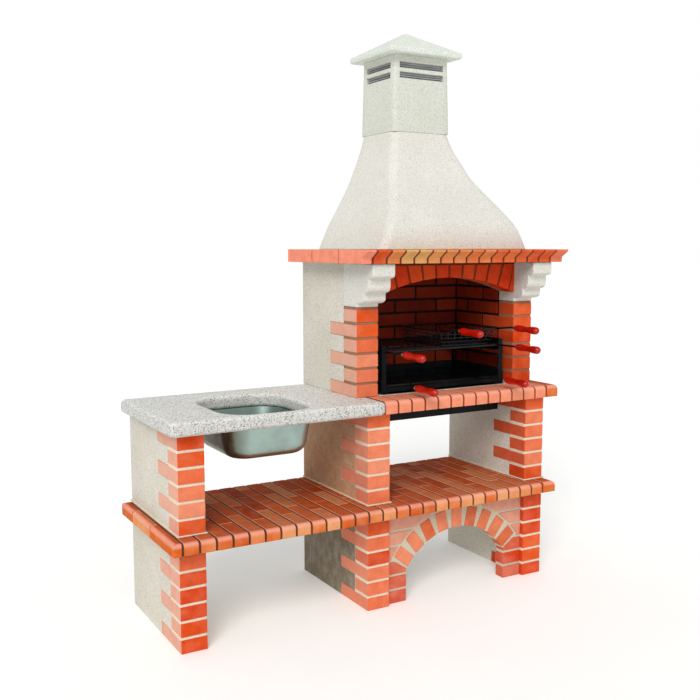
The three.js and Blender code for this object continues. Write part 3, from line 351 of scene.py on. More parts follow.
def prisms(ends, tones):
    """Prisms through ends[number, end, corner]: walls between the two ends and a flat face over each."""
    count, _, sides = ends.shape[:3]
    k = np.arange(sides)
    following = (k + 1) % sides
    walls = np.stack([k, following, sides + following, sides + k], 1).reshape(-1)
    loops = np.concatenate([walls, k[::-1], sides + k]) + 2 * sides * np.arange(count)[:, None]
    sizes = np.tile([4] * sides + [sides, sides], count)
    return ends.reshape(-1, 3), loops.reshape(-1), sizes, np.repeat(np.broadcast_to(tones, count), 2 * sides)


def carried(outline, starts, ends, axis=0, tones=PLAIN):
    """An outline in the plane square to an axis, carried along it from each start to its end.
    Across X the outline is (y, z), and across Y it is (x, z)."""
    outline = np.array(outline, float)
    rolled = np.roll(outline, -1, 0)
    turn = np.sum(outline[:, 0] * rolled[:, 1] - rolled[:, 0] * outline[:, 1])
    if turn * (1 if axis == 0 else -1) < 0:
        outline = outline[::-1]
    along = np.stack([np.atleast_1d(starts), np.atleast_1d(ends)], 1)
    points = np.zeros((len(along), 2, len(outline), 3))
    points[..., axis] = along[:, :, None]
    points[..., [k for k in range(3) if k != axis]] = outline
    return prisms(points, tones)


def grid(points, closed_u=False, closed_v=False):
    """A surface through points[u, v], joined to its start along u or v where it is closed."""
    points = np.array(points, float)
    rows, columns = points.shape[:2]
    u = np.arange(rows if closed_u else rows - 1)[:, None]
    v = np.arange(columns if closed_v else columns - 1)[None]
    next_u, next_v = (u + 1) % rows, (v + 1) % columns
    faces = np.stack(np.broadcast_arrays(
        u * columns + v, next_u * columns + v, next_u * columns + next_v, u * columns + next_v), -1)
    tones = np.full(rows * columns, PLAIN)
    return points.reshape(-1, 3), faces.reshape(-1), np.full(faces.shape[0] * faces.shape[1], 4), tones


def tube(rings):
    """Closed rings joined to each other, with a flat face over the first and over the last one."""
    points, loops, sizes, tones = grid(rings, closed_v=True)
    sides = np.shape(rings)[1]
    k = np.arange(sides)
    last = (len(rings) - 1) * sides + k
    return points, np.concatenate([loops, k, last[::-1]]), np.append(sizes, [sides, sides]), tones


def shell(rings):
    """Closed rings whose last one is joined to the first."""
    return grid(rings, closed_u=True, closed_v=True)


def frames(directions):
    """Two unit vectors square to each direction and to each other."""
    directions = directions / np.linalg.norm(directions, axis=-1, keepdims=True)
    helper = np.where(np.abs(directions[..., 2:]) > 0.9, [[1.0, 0, 0]], [[0, 0, 1.0]])
    first = np.cross(directions, helper)
    first /= np.linalg.norm(first, axis=-1, keepdims=True)
    return first, np.cross(directions, first)


def circles(first, second, sides):
    """A unit circle in the plane of each pair of vectors."""
    angle = (np.arange(sides) * 2 * np.pi / sides)[:, None]
    return np.cos(angle) * first[..., None, :] + np.sin(angle) * second[..., None, :]


def wires(starts, ends, radius, sides=10):
    """Straight round wires: a circle of the radius about each start and end, joined, with flat ends."""
    starts, ends = np.atleast_2d(starts).astype(float), np.atleast_2d(ends).astype(float)
    circle = radius * circles(*frames(ends - starts), sides)
    return prisms(np.stack([starts[:, None] + circle, ends[:, None] + circle], 1), PLAIN)


def quadratic(start, bend, end, share):
    """Points of a quadratic curve from a start towards a bend and on to an end."""
    return (1 - share) ** 2 * start + 2 * share * (1 - share) * bend + share ** 2 * end


def eased(points, reach, steps=5):
    """A path with quadratic curves for its inner corners, which start and end a reach from the corner."""
    points = np.array(points, float)
    path = [points[:1]]
    share = np.linspace(0, 1, steps + 1)[:, None]
    for before, corner, after in zip(points[:-2], points[1:-1], points[2:]):
        arms = (other - corner for other in (before, after))
        start, end = (corner + arm * min(reach / np.linalg.norm(arm), MOST_EASED) for arm in arms)
        path.append(quadratic(start, corner, end, share))
    path.append(points[-1:])
    return np.concatenate(path)


def rod(path, radius, sides=12, closed=False):
    """A bent rod: circles square to the path at its points, with the frame turned as little as possible."""
    path = np.array(path, float)
    tangents = np.roll(path, -1, 0) - np.roll(path, 1, 0) if closed else np.gradient(path, axis=0)
    tangents /= np.linalg.norm(tangents, axis=1, keepdims=True)
    normals = [frames(tangents[:1])[0][0]]
    for tangent in tangents[1:]:
        normal = normals[-1] - tangent * (normals[-1] @ tangent)
        normals.append(normal / np.linalg.norm(normal))
    normals = np.array(normals)
    points = path[:, None] + radius * circles(normals, np.cross(tangents, normals), sides)
    return shell(points) if closed else tube(points)


def closed_loop(corners, reach, radius, steps, sides):
    """A closed rod through four corners, each of them rounded."""
    corners = np.array(corners)
    return rod(eased(np.concatenate([corners, corners[:2]]), reach, steps)[1:-1], radius, sides, closed=True)


def turned(profile, base, direction, sides=36):
    """A turned piece: (distance along, radius) rows revolved about the direction from the base."""
    profile = np.array(profile, float)
    direction = np.array(direction, float) / np.linalg.norm(direction)
    first, second = (v[0] for v in frames(direction[None]))
    centre = np.array(base, float) + profile[:, :1] * direction
    circle = circles(first, second, sides)
    return grid(centre[:, None] + profile[:, 1, None, None] * circle[None], closed_v=True)


def unevenness(points, depth, rng, wave=0.022):
    """Smooth random shift: for each axis the sum of six sines in random directions, at most the depth."""
    waves = rng.normal(size=(3, 6, 3))
    lengths = np.linalg.norm(waves, axis=2, keepdims=True)
    waves *= (2 * np.pi / wave) / lengths * rng.uniform(0.6, 2.2, (3, 6, 1))
    phase = rng.uniform(0, 2 * np.pi, (3, 6))
    return depth / 3 * np.sin(np.einsum("pk,awk->paw", points, waves) + phase).sum(2) / 2


def rough_box(low, high, depth, rng, cell=0.006):
    """A box of mortar: a grid on each of its faces, shifted by the unevenness and never past the box."""
    low, high = np.array(low, float), np.array(high, float)
    shapes = []
    for axis in range(3):
        a, b = [k for k in range(3) if k != axis]
        cells = np.clip((high - low) / cell, 1, MOST_CELLS).astype(int)
        u, v = np.meshgrid(*(np.linspace(low[k], high[k], cells[k] + 1) for k in (a, b)), indexing="ij")
        for end in (low, high):
            points = np.zeros(u.shape + (3,))
            points[..., a], points[..., b], points[..., axis] = u, v, end[axis]
            shapes.append(grid(points))
    points, loops, sizes, tone = merged(shapes)
    moved = np.clip(points + unevenness(points, depth, rng), low, high)
    shrink = np.abs(unevenness(points, depth, rng)) * np.sign((low + high) / 2 - points)
    return np.where(np.isclose(points, moved), points + shrink, moved), loops, sizes, tone


def rounded_ring(low, high, radius, z, corner_steps, side_steps):
    """Level ring: a quarter circle at each corner and even steps along each side, anticlockwise from +X."""
    (x0, y0), (x1, y1) = np.array(low[:2]) + radius, np.array(high[:2]) - radius
    centres = [(x1, y1), (x0, y1), (x0, y0), (x1, y0)]
    quarter = np.linspace(0, np.pi / 2, corner_steps + 1)
    share = np.linspace(0, 1, side_steps + 1)[1:-1, None]
    angles = [quarter + k * np.pi / 2 for k in range(4)]
    arcs = [np.stack([x + radius * np.cos(angle), y + radius * np.sin(angle)], 1)
            for angle, (x, y) in zip(angles, centres)]
    points = []
    for arc, following in zip(arcs, arcs[1:] + arcs[:1]):
        points += [arc, arc[-1] + share * (following[0] - arc[-1])]
    outline = np.concatenate(points)
    return rows_of(outline[:, 0], outline[:, 1], z)


def smooth_table(table, shares):
    """Rows of a table at any share of its first column: cubic pieces with the slopes of the neighbours."""
    x, y = table[:, 0], table[:, 1:]
    slope = np.gradient(y, x, axis=0)
    k = np.clip(np.searchsorted(x, shares, side="right") - 1, 0, len(x) - 2)
    width = (x[k + 1] - x[k])[:, None]
    t = (shares - x[k])[:, None] / width
    return ((2 * t ** 3 - 3 * t ** 2 + 1) * y[k] + (t ** 3 - 2 * t ** 2 + t) * width * slope[k]
            + (3 * t ** 2 - 2 * t ** 3) * y[k + 1] + (t ** 3 - t ** 2) * width * slope[k + 1])


# Objects
def wear(made, width, segments=2, angle=32):
    """Rounds the edges that turn by more than the angle in degrees."""
    bevel = made.modifiers.new("worn_edges", "BEVEL")
    bevel.width = width
    bevel.segments = segments
    bevel.limit_method = "ANGLE"
    bevel.angle_limit = math.radians(angle)
    bevel.harden_normals = True


def piece(name, shape, material, node=None, slot=None, body="masonry", smooth=True, worn=0.0, **edges):
    """A mesh object from a shape: doubles merged, faces turned outwards, finished, fastened to its body, and
    with worn edges where a width is set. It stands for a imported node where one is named."""
    points, loops, sizes, tone = shape
    mesh = bpy.data.meshes.new(name)
    mesh.vertices.add(len(points))
    mesh.vertices.foreach_set("co", points.astype(np.float32).ravel())
    mesh.loops.add(len(loops))
    mesh.loops.foreach_set("vertex_index", loops.astype(np.int32))
    mesh.polygons.add(len(sizes))
    mesh.polygons.foreach_set("loop_start", np.concatenate([[0], np.cumsum(sizes)[:-1]]).astype(np.int32))
    mesh.update(calc_edges=True)
    mesh.attributes.new("tone", "FLOAT", "POINT").data.foreach_set("value", tone.astype(np.float32))
    bm = bmesh.new()
    bm.from_mesh(mesh)
    bmesh.ops.remove_doubles(bm, verts=bm.verts, dist=1e-6)
    bmesh.ops.recalc_face_normals(bm, faces=bm.faces)
    bm.to_mesh(mesh)
    bm.free()
    mesh.polygons.foreach_set("use_smooth", np.full(len(mesh.polygons), smooth))
    made = bpy.data.objects.new(name, mesh)
    bpy.context.scene.collection.objects.link(made)
    mesh.materials.append(finish(material))
    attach(made, body)
    slot or material
    if node:
        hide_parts(node)
    if worn:
        wear(made, worn, **edges)
    return made


def dress(node, material, width):
    """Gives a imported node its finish, merges its flat faces and rounds its edges."""
    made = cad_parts[node]
    made.data.materials.clear()
    made.data.materials.append(finish(material))
    made.modifiers.new("weld", "WELD").merge_threshold = 1e-5
    flat = made.modifiers.new("flat_faces", "DECIMATE")
    flat.decimate_type = "DISSOLVE"
    flat.angle_limit = math.radians(1)
    made.data.polygons.foreach_set("use_smooth", np.full(len(made.data.polygons), True))
    wear(made, width)


# Shaders
class Nodes:
    """Short calls that add nodes to a tree."""

    def __init__(self, tree):
        self.tree = tree

    def put(self, sockets, values):
        """Sets sockets to values, or links them from other sockets."""
        for key, value in values.items():
            if isinstance(value, bpy.types.NodeSocket):
                self.tree.links.new(value, sockets[key])
            else:
                sockets[key].default_value = value

    def add(self, kind, values, **options):
        """A node with its options and the values of its sockets."""
        made = self.tree.nodes.new("ShaderNode" + kind)
        for key, value in options.items():
            setattr(made, key, value)
        self.put(made.inputs, values)
        return made

    def place(self):
        """Object coordinates."""
        return self.add("TexCoord", {}).outputs["Object"]

    def axes(self, vector):
        """X, Y and Z of a vector."""
        return self.add("SeparateXYZ", {"Vector": vector}).outputs

    def noise(self, scale, detail, streak=None):
        """Noise on object coordinates, stretched along the axes where asked for."""
        place = self.place()
        if streak:
            place = self.add("Mapping", {"Vector": place, "Scale": streak}).outputs["Vector"]
        return self.add("TexNoise", {"Vector": place, "Scale": scale, "Detail": detail}).outputs["Fac"]

    def math(self, kind, *values):
        """The result of a Math node."""
        return self.add("Math", dict(enumerate(values)), operation=kind).outputs[0]

    def span(self, value, low=0.0, high=1.0, to_low=0.0, to_high=1.0):
        """A value carried from one range to another."""
        ends = {"From Min": low, "From Max": high, "To Min": to_low, "To Max": to_high}
        return self.add("MapRange", {"Value": value, **ends}).outputs["Result"]

    def mix(self, share, first, second, blend="MIX", kind="Color"):
        """The output of a Mix node between two colours, or between two numbers with the kind Float."""
        made = self.add("Mix", {}, data_type="RGBA" if kind == "Color" else "FLOAT", blend_type=blend)
        ends = [value if kind == "Float" or isinstance(value, bpy.types.NodeSocket) else (*value, 1)
                for value in (first, second)]
        self.put({socket.identifier: socket for socket in made.inputs},
                 {"Factor_Float": share, "A_" + kind: ends[0], "B_" + kind: ends[1]})
        return next(socket for socket in made.outputs if socket.identifier == "Result_" + kind)

    def times(self, first, second):
        """The product of two colours."""
        return self.mix(1.0, first, second, "MULTIPLY")

    def group(self, make, **values):
        """The outputs of a group node with its inputs set by name."""
        return self.add("Group", values, node_tree=make()).outputs

    def cloud(self, scale, detail=3.0, low=0.35, high=0.65):
        """A cloudy mask."""
        return self.group(mottle, Scale=scale, Detail=detail, Low=low, High=high)["Mask"]


def shader_group(**inputs):
    """For a function that fills a node group: it gets the nodes and the inputs and returns the outputs by
    name. The group has the function's name and is made when it is first asked for."""
    def marked(fill):
        def make():
            if fill.__name__ in bpy.data.node_groups:
                return bpy.data.node_groups[fill.__name__]
            tree = bpy.data.node_groups.new(fill.__name__, "ShaderNodeTree")
            for label, value in inputs.items():
                kind = "NodeSocketColor" if isinstance(value, tuple) else "NodeSocketFloat"
                tree.interface.new_socket(name=label, in_out="INPUT", socket_type=kind).default_value = value
            results = fill(Nodes(tree), tree.nodes.new("NodeGroupInput").outputs)
            for label, socket in results.items():
                kind = "NodeSocketColor" if socket.type == "RGBA" else "NodeSocketFloat"
                tree.interface.new_socket(name=label, in_out="OUTPUT", socket_type=kind)
            Nodes(tree).put(tree.nodes.new("NodeGroupOutput").inputs, results)
            return tree
        return make
    return marked


@shader_group(Scale=10.0, Detail=3.0, Low=0.35, High=0.65)
def mottle(n, given):
    """Cloudy mask: noise on object coordinates, stretched between a low and a high value."""
    return {"Mask": n.span(n.noise(given["Scale"], given["Detail"]), given["Low"], given["High"])}


@shader_group(Scale=250.0, Irregularity=0.4)
def grains(n, given):
    """Grains of stone: cells on object coordinates, with a random value for each and a height that falls to
    its rim."""
    place = n.place()
    bend = n.add("TexNoise", {"Vector": place, "Scale": 60.0, "Detail": 2.0}).outputs["Color"]
    shift = n.add("VectorMath", {0: bend, 1: (0.012, 0.012, 0.012)}, operation="MULTIPLY").outputs[0]
    bent = n.add("VectorMath", {0: place, 1: shift}, operation="ADD").outputs[0]
    cells = n.add("TexVoronoi", {"Vector": bent, "Scale": given["Scale"], "Randomness": 1.0}).outputs
    value = n.add("SeparateColor", {"Color": cells["Color"]}).outputs["Red"]
    rough = n.mix(given["Irregularity"], cells["Distance"], n.noise(900.0, 2.0), kind="Float")
    return {"Value": value, "Height": n.math("SUBTRACT", 1.0, rough)}


@shader_group(Dark=(0.5, 0.5, 0.5, 1), Middle=(0.5, 0.5, 0.5, 1), Light=(0.5, 0.5, 0.5, 1))
def brick_tone(n, given):
    """Colour of one brick: the piece's tone attribute between a dark, a middle and a light colour."""
    tone = n.add("Attribute", {}, attribute_name="tone").outputs["Fac"]
    lower = n.mix(n.span(tone, 0.0, 0.5), given["Dark"], given["Middle"])
    return {"Color": n.mix(n.span(tone, 0.5, 1.0), lower, given["Light"])}


@shader_group(Share=0.5)
def cast_sides(n, given):
    """Mask of faces that look along X, of faces that look up, of rounded edges between a wall and a top, and
    of faces that look to -X, where cement bloom and painted light are laid: painted shade, a painted
    highlight and a painted reflection."""
    normal = n.axes(n.add("NewGeometry", {}).outputs["Normal"])
    amount = n.math("MULTIPLY", n.span(n.cloud(26.0, low=0.2, high=0.6), to_low=0.72), given["Share"])
    slant = n.add("Math", {0: n.math("MULTIPLY", n.math("ARCSINE", normal["Z"]), 2.0)}, operation="SINE")
    slant.use_clamp = True
    masks = {
        "Side": n.math("MULTIPLY", normal["X"], normal["X"]), "Top": n.span(normal["Z"], 0.25, 0.95),
        "Edge": slant.outputs[0], "Left": n.span(normal["X"], -0.2, -0.9)}
    return {label: n.math("MULTIPLY", mask, amount) for label, mask in masks.items()}


@shader_group(Front=-0.1, Back=0.2, Amount=0.7)
def soot(n, given):
    """Soot in the firebox: it thickens with depth, broken up by noise."""
    depth = n.span(n.axes(n.place())["Y"], given["Front"], given["Back"])
    cloud = n.span(n.noise(9.0, 4.0), 0.3, 0.7, 0.7, 1.0)
    return {"Mask": n.math("MULTIPLY", n.math("MULTIPLY", depth, cloud), given["Amount"])}


class Finish(Nodes):
    """A material under way."""

    def __init__(self, name):
        self.material = bpy.data.materials.new(name + "_finish")
        self.material.use_nodes = True
        super().__init__(self.material.node_tree)

    def done(self, base, roughness, shine, height=None, relief=0.0, **constants):
        """Sets the shader's sockets, with a height in metres of relief on its normal. In a constant's name an
        underscore stands for a space."""
        sockets = self.tree.nodes["Principled BSDF"].inputs
        self.put(sockets, {"Base Color": base, "Roughness": roughness, "Specular IOR Level": shine})
        self.put(sockets, {label.replace("_", " "): value for label, value in constants.items()})
        if height is not None:
            bump = self.add("Bump", {"Strength": 1.0, "Distance": relief, "Height": height})
            self.put(sockets, {"Normal": bump.outputs["Normal"]})
        return self.material


WHITE = (1, 1, 1)
BURNT = (0.16, 0.05, 0.03)
SOOT_BLACK = (0.012, 0.009, 0.008)
ASH = (0.22, 0.21, 0.20)


def fired_clay(name, tints, film=0.0, deep=0.0, tread=0.0, rim=0.0, sooty=0.0, roughness=(0.65, 0.85),
               shine=0.15):
    """Pressed and fired clay: a tone for each brick, pale dusting, soft clouds, burnt specks, cement bloom
    that is partly painted light or a deeper red that is painted shade on the cast sides, painted shade on
    level faces, a painted highlight on rounded edges, and soot."""
    n = Finish(name)
    c = settings().colours
    dark, middle, light = (tuple(getattr(c, tint)) for tint in tints.split())
    clouds = n.cloud(30.0, 4.0, 0.3, 0.75)
    now = n.group(brick_tone, Dark=(*dark, 1), Middle=(*middle, 1), Light=(*light, 1))["Color"]
    now = n.mix(n.math("MULTIPLY", n.cloud(17.0, 3.0, 0.38, 0.8), 0.35), now, light)
    now = n.times(now, n.mix(clouds, (1.03, 1.03, 1.03), (0.86, 0.83, 0.82)))
    now = n.times(now, n.mix(n.cloud(320.0, 2.0, 0.25, 0.75), (0.93, 0.92, 0.91), (1.05, 1.05, 1.05)))
    specks = n.group(grains, Scale=420.0, Irregularity=0.2)
    now = n.mix(n.span(specks["Value"], 0.955, to_high=0.4), now, BURNT)
    # Cement bloom and painted light on the sides, painted shade on the sides and on level faces, and a
    # painted highlight on rounded edges.
    for amount, mask, tint in ((film, "Side", c.bloom), (deep, "Side", c.deep_brick), (tread, "Top", c.tread),
                               (rim, "Edge", c.rim)):
        if amount:
            now = n.mix(n.group(cast_sides, Share=amount)[mask], now, tint)
    if sooty:
        now = n.mix(n.group(soot, Amount=sooty)["Mask"], now, SOOT_BLACK)
    height = n.mix(0.35, specks["Height"], clouds, kind="Float")
    return n.done(now, n.span(clouds, to_low=roughness[0], to_high=roughness[1]), shine, height, 0.0007)


def aggregate(name, base, stops, scale, relief, roughness=(0.8, 0.95), clouding=0.10, walls=1.0, left=None):
    """Cast stone: grains coloured by a ramp of "share colour" stops, cloudy shading and raised grains, with
    its walls or its left side darker by painted shade where asked for."""
    n = Finish(name)
    stone = n.group(grains, Scale=scale, Irregularity=0.35)
    ramp = n.add("ValToRGB", {"Fac": stone["Value"]})
    ramp.color_ramp.interpolation = "CONSTANT"
    elements = ramp.color_ramp.elements
    elements[0].color = (*getattr(settings().colours, base), 1)
    elements.remove(elements[1])
    for stop in stops.split(", "):
        share, code = stop.split()
        elements.new(float(share)).color = (*srgb(code), 1)
    shade = n.mix(n.cloud(5.0, 5.0, 0.3, 0.7), (1 - clouding, 1 - clouding, 1 - 1.4 * clouding), WHITE)
    now = n.times(ramp.outputs["Color"], shade)
    painted_shade_masks = n.group(cast_sides, Share=1.0) if walls != 1 or left else None
    # Painted shade: faces that don't look up are darkened by the walls factor.
    if walls != 1:
        now = n.times(now, n.mix(painted_shade_masks["Top"], (walls, walls, walls), WHITE))
    # Painted shade on the faces that look to -X.
    if left:
        now = n.times(now, n.mix(painted_shade_masks["Left"], WHITE, left))
    dull = n.span(stone["Value"], to_low=roughness[0], to_high=roughness[1])
    return n.done(now, dull, 0.3, stone["Height"], relief)


def sheet_metal(name, tint, roughness, metallic, streak=None, relief=0.0001, dusty=0.0, left=None, shine=0.5):
    """Metal with streaks: noise stretched along an axis moves its roughness and its relief, with ash on top
    of it and, where asked for, a painted reflection that tints its left outer wall dark brown."""
    n = Finish(name)
    tint = getattr(settings().colours, tint)
    noise = n.noise(60.0, 3.0, streak)
    now = n.mix(n.cloud(14.0, 4.0), tint, tuple(min(1.0, 1.25 * c + 0.004) for c in tint))
    if dusty:
        now = n.mix(n.math("MULTIPLY", n.cloud(30.0, 6.0, 0.5, 0.8), dusty), now, ASH)
    # Painted reflection: the bowl's left outer wall is tinted dark brown for the shaded brick it mirrors.
    if left:
        middle = float(np.mean(low_high("sink_bowl"), 0)[0])
        outer = n.span(n.axes(n.place())["X"], middle, middle - 0.05)
        part = n.math("MULTIPLY", n.group(cast_sides, Share=1.0)["Left"], outer)
        now = n.times(now, n.mix(part, WHITE, left))
    dull = n.span(noise, to_low=roughness - 0.1, to_high=roughness + 0.1)
    return n.done(now, dull, shine, noise, relief, Metallic=metallic)


def lacquer(name, tint):
    """Red lacquer on turned wood: grain that shows through, and a clear coat."""
    n = Finish(name)
    tint = getattr(settings().colours, tint)
    noise = n.noise(4.0, 4.0, (60, 6, 60))
    grain = n.mix(noise, tuple(0.55 * c for c in tint), tuple(min(1.0, 1.3 * c) for c in tint))
    dull = n.span(noise, to_low=0.2, to_high=0.36)
    return n.done(n.mix(n.cloud(30.0), grain, tint), dull, 0.3, noise, 0.0002, Coat_Weight=0.12,
                  Coat_Roughness=0.06)


# Dark, middle and light tint of each fired piece, and what lies on it
FACING = "brick_dark brick brick_light"
CLAYS = {
    "brick": (FACING, {}),
    # Painted shade: a deeper red on the sides of the bricks.
    "deep_brick": (FACING, {"deep": 0.6}),
    # Sides made paler by cement bloom that is partly painted light: much on the left walls, a little on the
    # centre ones.
    "filmed_brick": (FACING, {"film": 0.9}),
    "dusted_brick": (FACING, {"film": 0.3}),
    "arch_brick": ("brick arch_brick brick_light", {}),
    "haunch_brick": ("brick_dark haunch bloom", {}),
    "side_brick": ("brick_light side_brick side_brick", {}),
    "lintel_brick": ("brick_dark lintel brick", {}),
    # Painted shade on the tiles' level faces and a painted highlight on their rounded noses.
    "tile": ("tile_dark tile tile_light",
             {"tread": 0.6, "rim": 0.66, "roughness": (0.6, 0.8), "shine": 0.05}),
    # Painted highlight on the rounded noses of the ledge tiles.
    "ledge_tile": ("brick brick_light brick_light", {"rim": 0.6, "shine": 0.25}),
    "cornice_tile": ("cornice_dark cornice cornice_light", {}),
    "firebrick": ("fire_dark fire fire_light", {"sooty": 0.35}),
}
# Tint of the ground, stops of the grains' colours, grains to the metre, relief in metres, and what differs
PEBBLES = "0.30 dedacf, 0.55 cdc7b9, 0.75 e3dfd5, 0.90 bfb8a9, 0.97 9f978a"
CHIPS = "0.40 e1dfd8, 0.66 cfccc3, 0.84 e5e3dd, 0.93 c3bfb5, 0.98 b3aea4"
STACK_CHIPS = "0.40 dbddd4, 0.66 c8cabf, 0.84 dfe1d9, 0.93 bcbdb3, 0.98 abaca3"
SPECKLES = "0.32 e4e4df, 0.56 bcbdb7, 0.70 f0f0ec, 0.84 9b9a92, 0.92 d2c6bc, 0.97 66645f"
STONES = {
    "mortar": ("mortar", "0.5 f0e3d1, 0.8 dccab2, 0.95 c3ae96", 900, 0.0006, {}),
    "arch_mortar": ("arch_mortar", "0.5 d8cfba, 0.8 bdb29b, 0.95 a79b85", 900, 0.0008, {}),
    "fire_mortar": ("fire_mortar", "0.6 8c644f, 0.9 b58d74", 900, 0.0006, {}),
    "dark_mortar": ("dark_mortar", "0.6 4e3226, 0.9 76543f", 900, 0.0006, {}),
    "red_mortar": ("red_mortar", "0.6 702c14, 0.9 965030", 900, 0.0006, {}),
    "soot_mortar": ("soot", "0.6 140b08, 0.9 2a1a15", 900, 0.0006, {}),
    "washed_concrete": ("concrete", PEBBLES, 430, 0.0008, {}),
    # Painted shade: the left faces of the centre panels, in the bays under the worktop, are coloured darker
    # and browner.
    "lower_shaded_concrete": ("concrete", PEBBLES, 430, 0.0008, {"left": (0.33, 0.28, 0.23)}),
    "upper_shaded_concrete": ("concrete", PEBBLES, 430, 0.0008, {"left": (0.8, 0.46, 0.28)}),
    "pale_concrete": ("pale_concrete", CHIPS, 400, 0.0006, {"clouding": 0.05}),
    "stack_concrete": ("stack", STACK_CHIPS, 400, 0.0006, {"clouding": 0.06}),
    "cap_concrete": ("cap", "0.5 e8ede5, 0.9 dde4da", 480, 0.0003, {"clouding": 0.03}),
    # Painted light: the worktop's top is paler and its walls darker, as light falls on the top.
    "granite": ("granite", SPECKLES, 310, 0.0006,
                {"roughness": (0.35, 0.55), "clouding": 0.03, "walls": 0.78}),
}
# Tint, roughness and metallic share of each metal, and what differs
METALS = {
    # The left tint is a painted reflection on the bowl's left outer wall.
    "steel": ("steel", 0.34, 1.0, {"streak": (1.5, 1.5, 1.5), "relief": 0.00001, "left": (0.3, 0.17, 0.1)}),
    "black_steel": ("black", 0.5, 0.0, {"dusty": 0.03, "shine": 0.12}),
    "wire": ("wire", 0.4, 0.8, {"streak": (3, 3, 3)}),
    "ferrule": ("ferrule", 0.3, 1.0, {"streak": (3, 3, 3)}),
    "louvre": ("louvre", 0.5, 0.0, {"streak": (3, 3, 3)}),
}


def finish(name):
    """The material of that finish, made when it is first asked for."""
    if name + "_finish" in bpy.data.materials:
        return bpy.data.materials[name + "_finish"]
    for table, make in ((CLAYS, fired_clay), (STONES, aggregate), (METALS, sheet_metal)):
        if name in table:
            *values, options = table[name]
            return make(name, *values, **options)
    return lacquer(name, "grip")


# Masonry. Tone of each brick from the floor up: 0 is the darkest brick, 1 the lightest
WALL_TONES = {
    "lower_left": (0.15, 0.25, 0.05, 0.05, 0.15, 0.6),
    "lower_centre": (0.7, 0.75, 0.8, 0.05, 0.7, 0.4),
    # The lower right wall's low tones also stand for painted shade on that wall.
    "lower_right": (0.1, 0.5, 0.5, 0.05, 0.0, 0.1),
    "upper_left": (0.45, 1.0, 0.8, 0.6, 0.35, 0.15),
    "upper_centre": (0.75, 0.8, 1.0, 0.85, 0.95, 0.6),
    "upper_right": (0.4, 0.8, 0.7, 0.7, 0.8, 0.55),
    "firebox_left": (0.75, 0.75, 0.95, 0.6, 0.5, 0.35),
    "firebox_right": (0.2, 0.3, 0.3, 0.1, 0.4, 0.5),
}
# Left and centre walls get sides paler by cement bloom that is partly painted light, right walls sides darker
# by painted shade.
WALL_CLAYS = {"left": "filmed_brick", "centre": "dusted_brick", "right": "deep_brick"}
SEEDS = {"lower": 10, "upper": 20, "firebox": 30, "beds": 40, "arch": 41, "shelf": 51, "ledge": 57,
         "lining": 61, "cornice": 71}


def seeded(name, number=0):
    """The random numbers of one part of the masonry."""
    return np.random.default_rng(SEEDS[name] + number)


def quoins(wall, first, joint, long_first, material, mortar, rng):
    """Toothed bricks of one wall's front, long and short in turn, on an uneven mortar core."""
    s = settings().bricks
    node = wall + "_quoins"
    low, high = low_high(node)
    k = np.arange(s.courses)
    z = low[2] + first + k * (s.height + joint)
    reach = np.where((k % 2 == 0) == long_first, s.length, s.width)
    corners = box_corners(rows_of(low[0], low[1], z), rows_of(high[0], low[1] + reach, z + s.height))
    shape = blocks(corners, np.array(WALL_TONES[wall]), rng, s.wobble)
    piece(node + "_faces", shape, material, node, slot="brick", worn=s.worn_edge)
    core_high = [high[0] - s.wobble, low[1] + s.width, high[2]]
    core = rough_box(low + [s.wobble, s.recess, 0], core_high, s.relief, rng)
    piece(node + "_mortar", core, mortar, slot="brick")


class BARBECUE_OT_piers(bpy.types.Operator):
    """Build the brick fronts of the piers and the firebox, and finish their cast panels."""
    bl_idname = "barbecue.piers"
    bl_label = "Piers"

    def execute(self, context):
        s = settings().bricks
        for number, place in enumerate(PLACES):
            clay = WALL_CLAYS[place]
            quoins("lower_" + place, 0.0, s.joint, True, clay, "mortar", seeded("lower", number))
            quoins("upper_" + place, s.first_bed, s.joint, False, clay, "mortar", seeded("upper", number))
            for level in ("lower", "upper"):
                # The centre panels get painted shade on their left faces.
                stone = level + "_shaded_concrete" if place == "centre" else "washed_concrete"
                dress(f"{level}_{place}_panel", stone, s.worn_edge)
            self.bed("upper_" + place, seeded("beds", number))
        for number, side in enumerate(SIDES):
            rng = seeded("firebox", number)
            quoins("firebox_" + side, 0.0, s.fire_joint, True, WALL_CLAYS[side], "fire_mortar", rng)
            dress(f"firebox_{side}_panel", "washed_concrete", s.worn_edge)
        dress("firebox_back_panel", "washed_concrete", s.worn_edge)
        return {"FINISHED"}

    def bed(self, wall, rng):
        """Mortar squeezed out under an upper wall: a low strip round its foot with an uneven edge."""
        s = settings().bricks
        front, back = low_high(wall + "_quoins")[0], low_high(wall + "_panel")[1]
        low = [front[0] - s.squeeze, front[1] - s.squeeze, front[2]]
        high = [back[0] + s.squeeze, back[1], front[2] + s.first_bed + s.relief]
        piece(wall + "_bed", rough_box(low, high, 2 * s.relief, rng), "mortar", slot="brick")


def haunch_outline(z0, z1, near, far, limit, steps=8):
    """(x, z) outline of a level brick whose far end stops at a limit that depends on the height."""
    z = np.linspace(z0, z1, steps)
    end = np.minimum(far, limit(z))
    keep = end > near
    if keep.sum() < 2:
        return None
    edge = np.stack([end, z], 1)[keep]
    return np.concatenate([[[near, edge[0, 1]]], edge, [[near, z1]]])


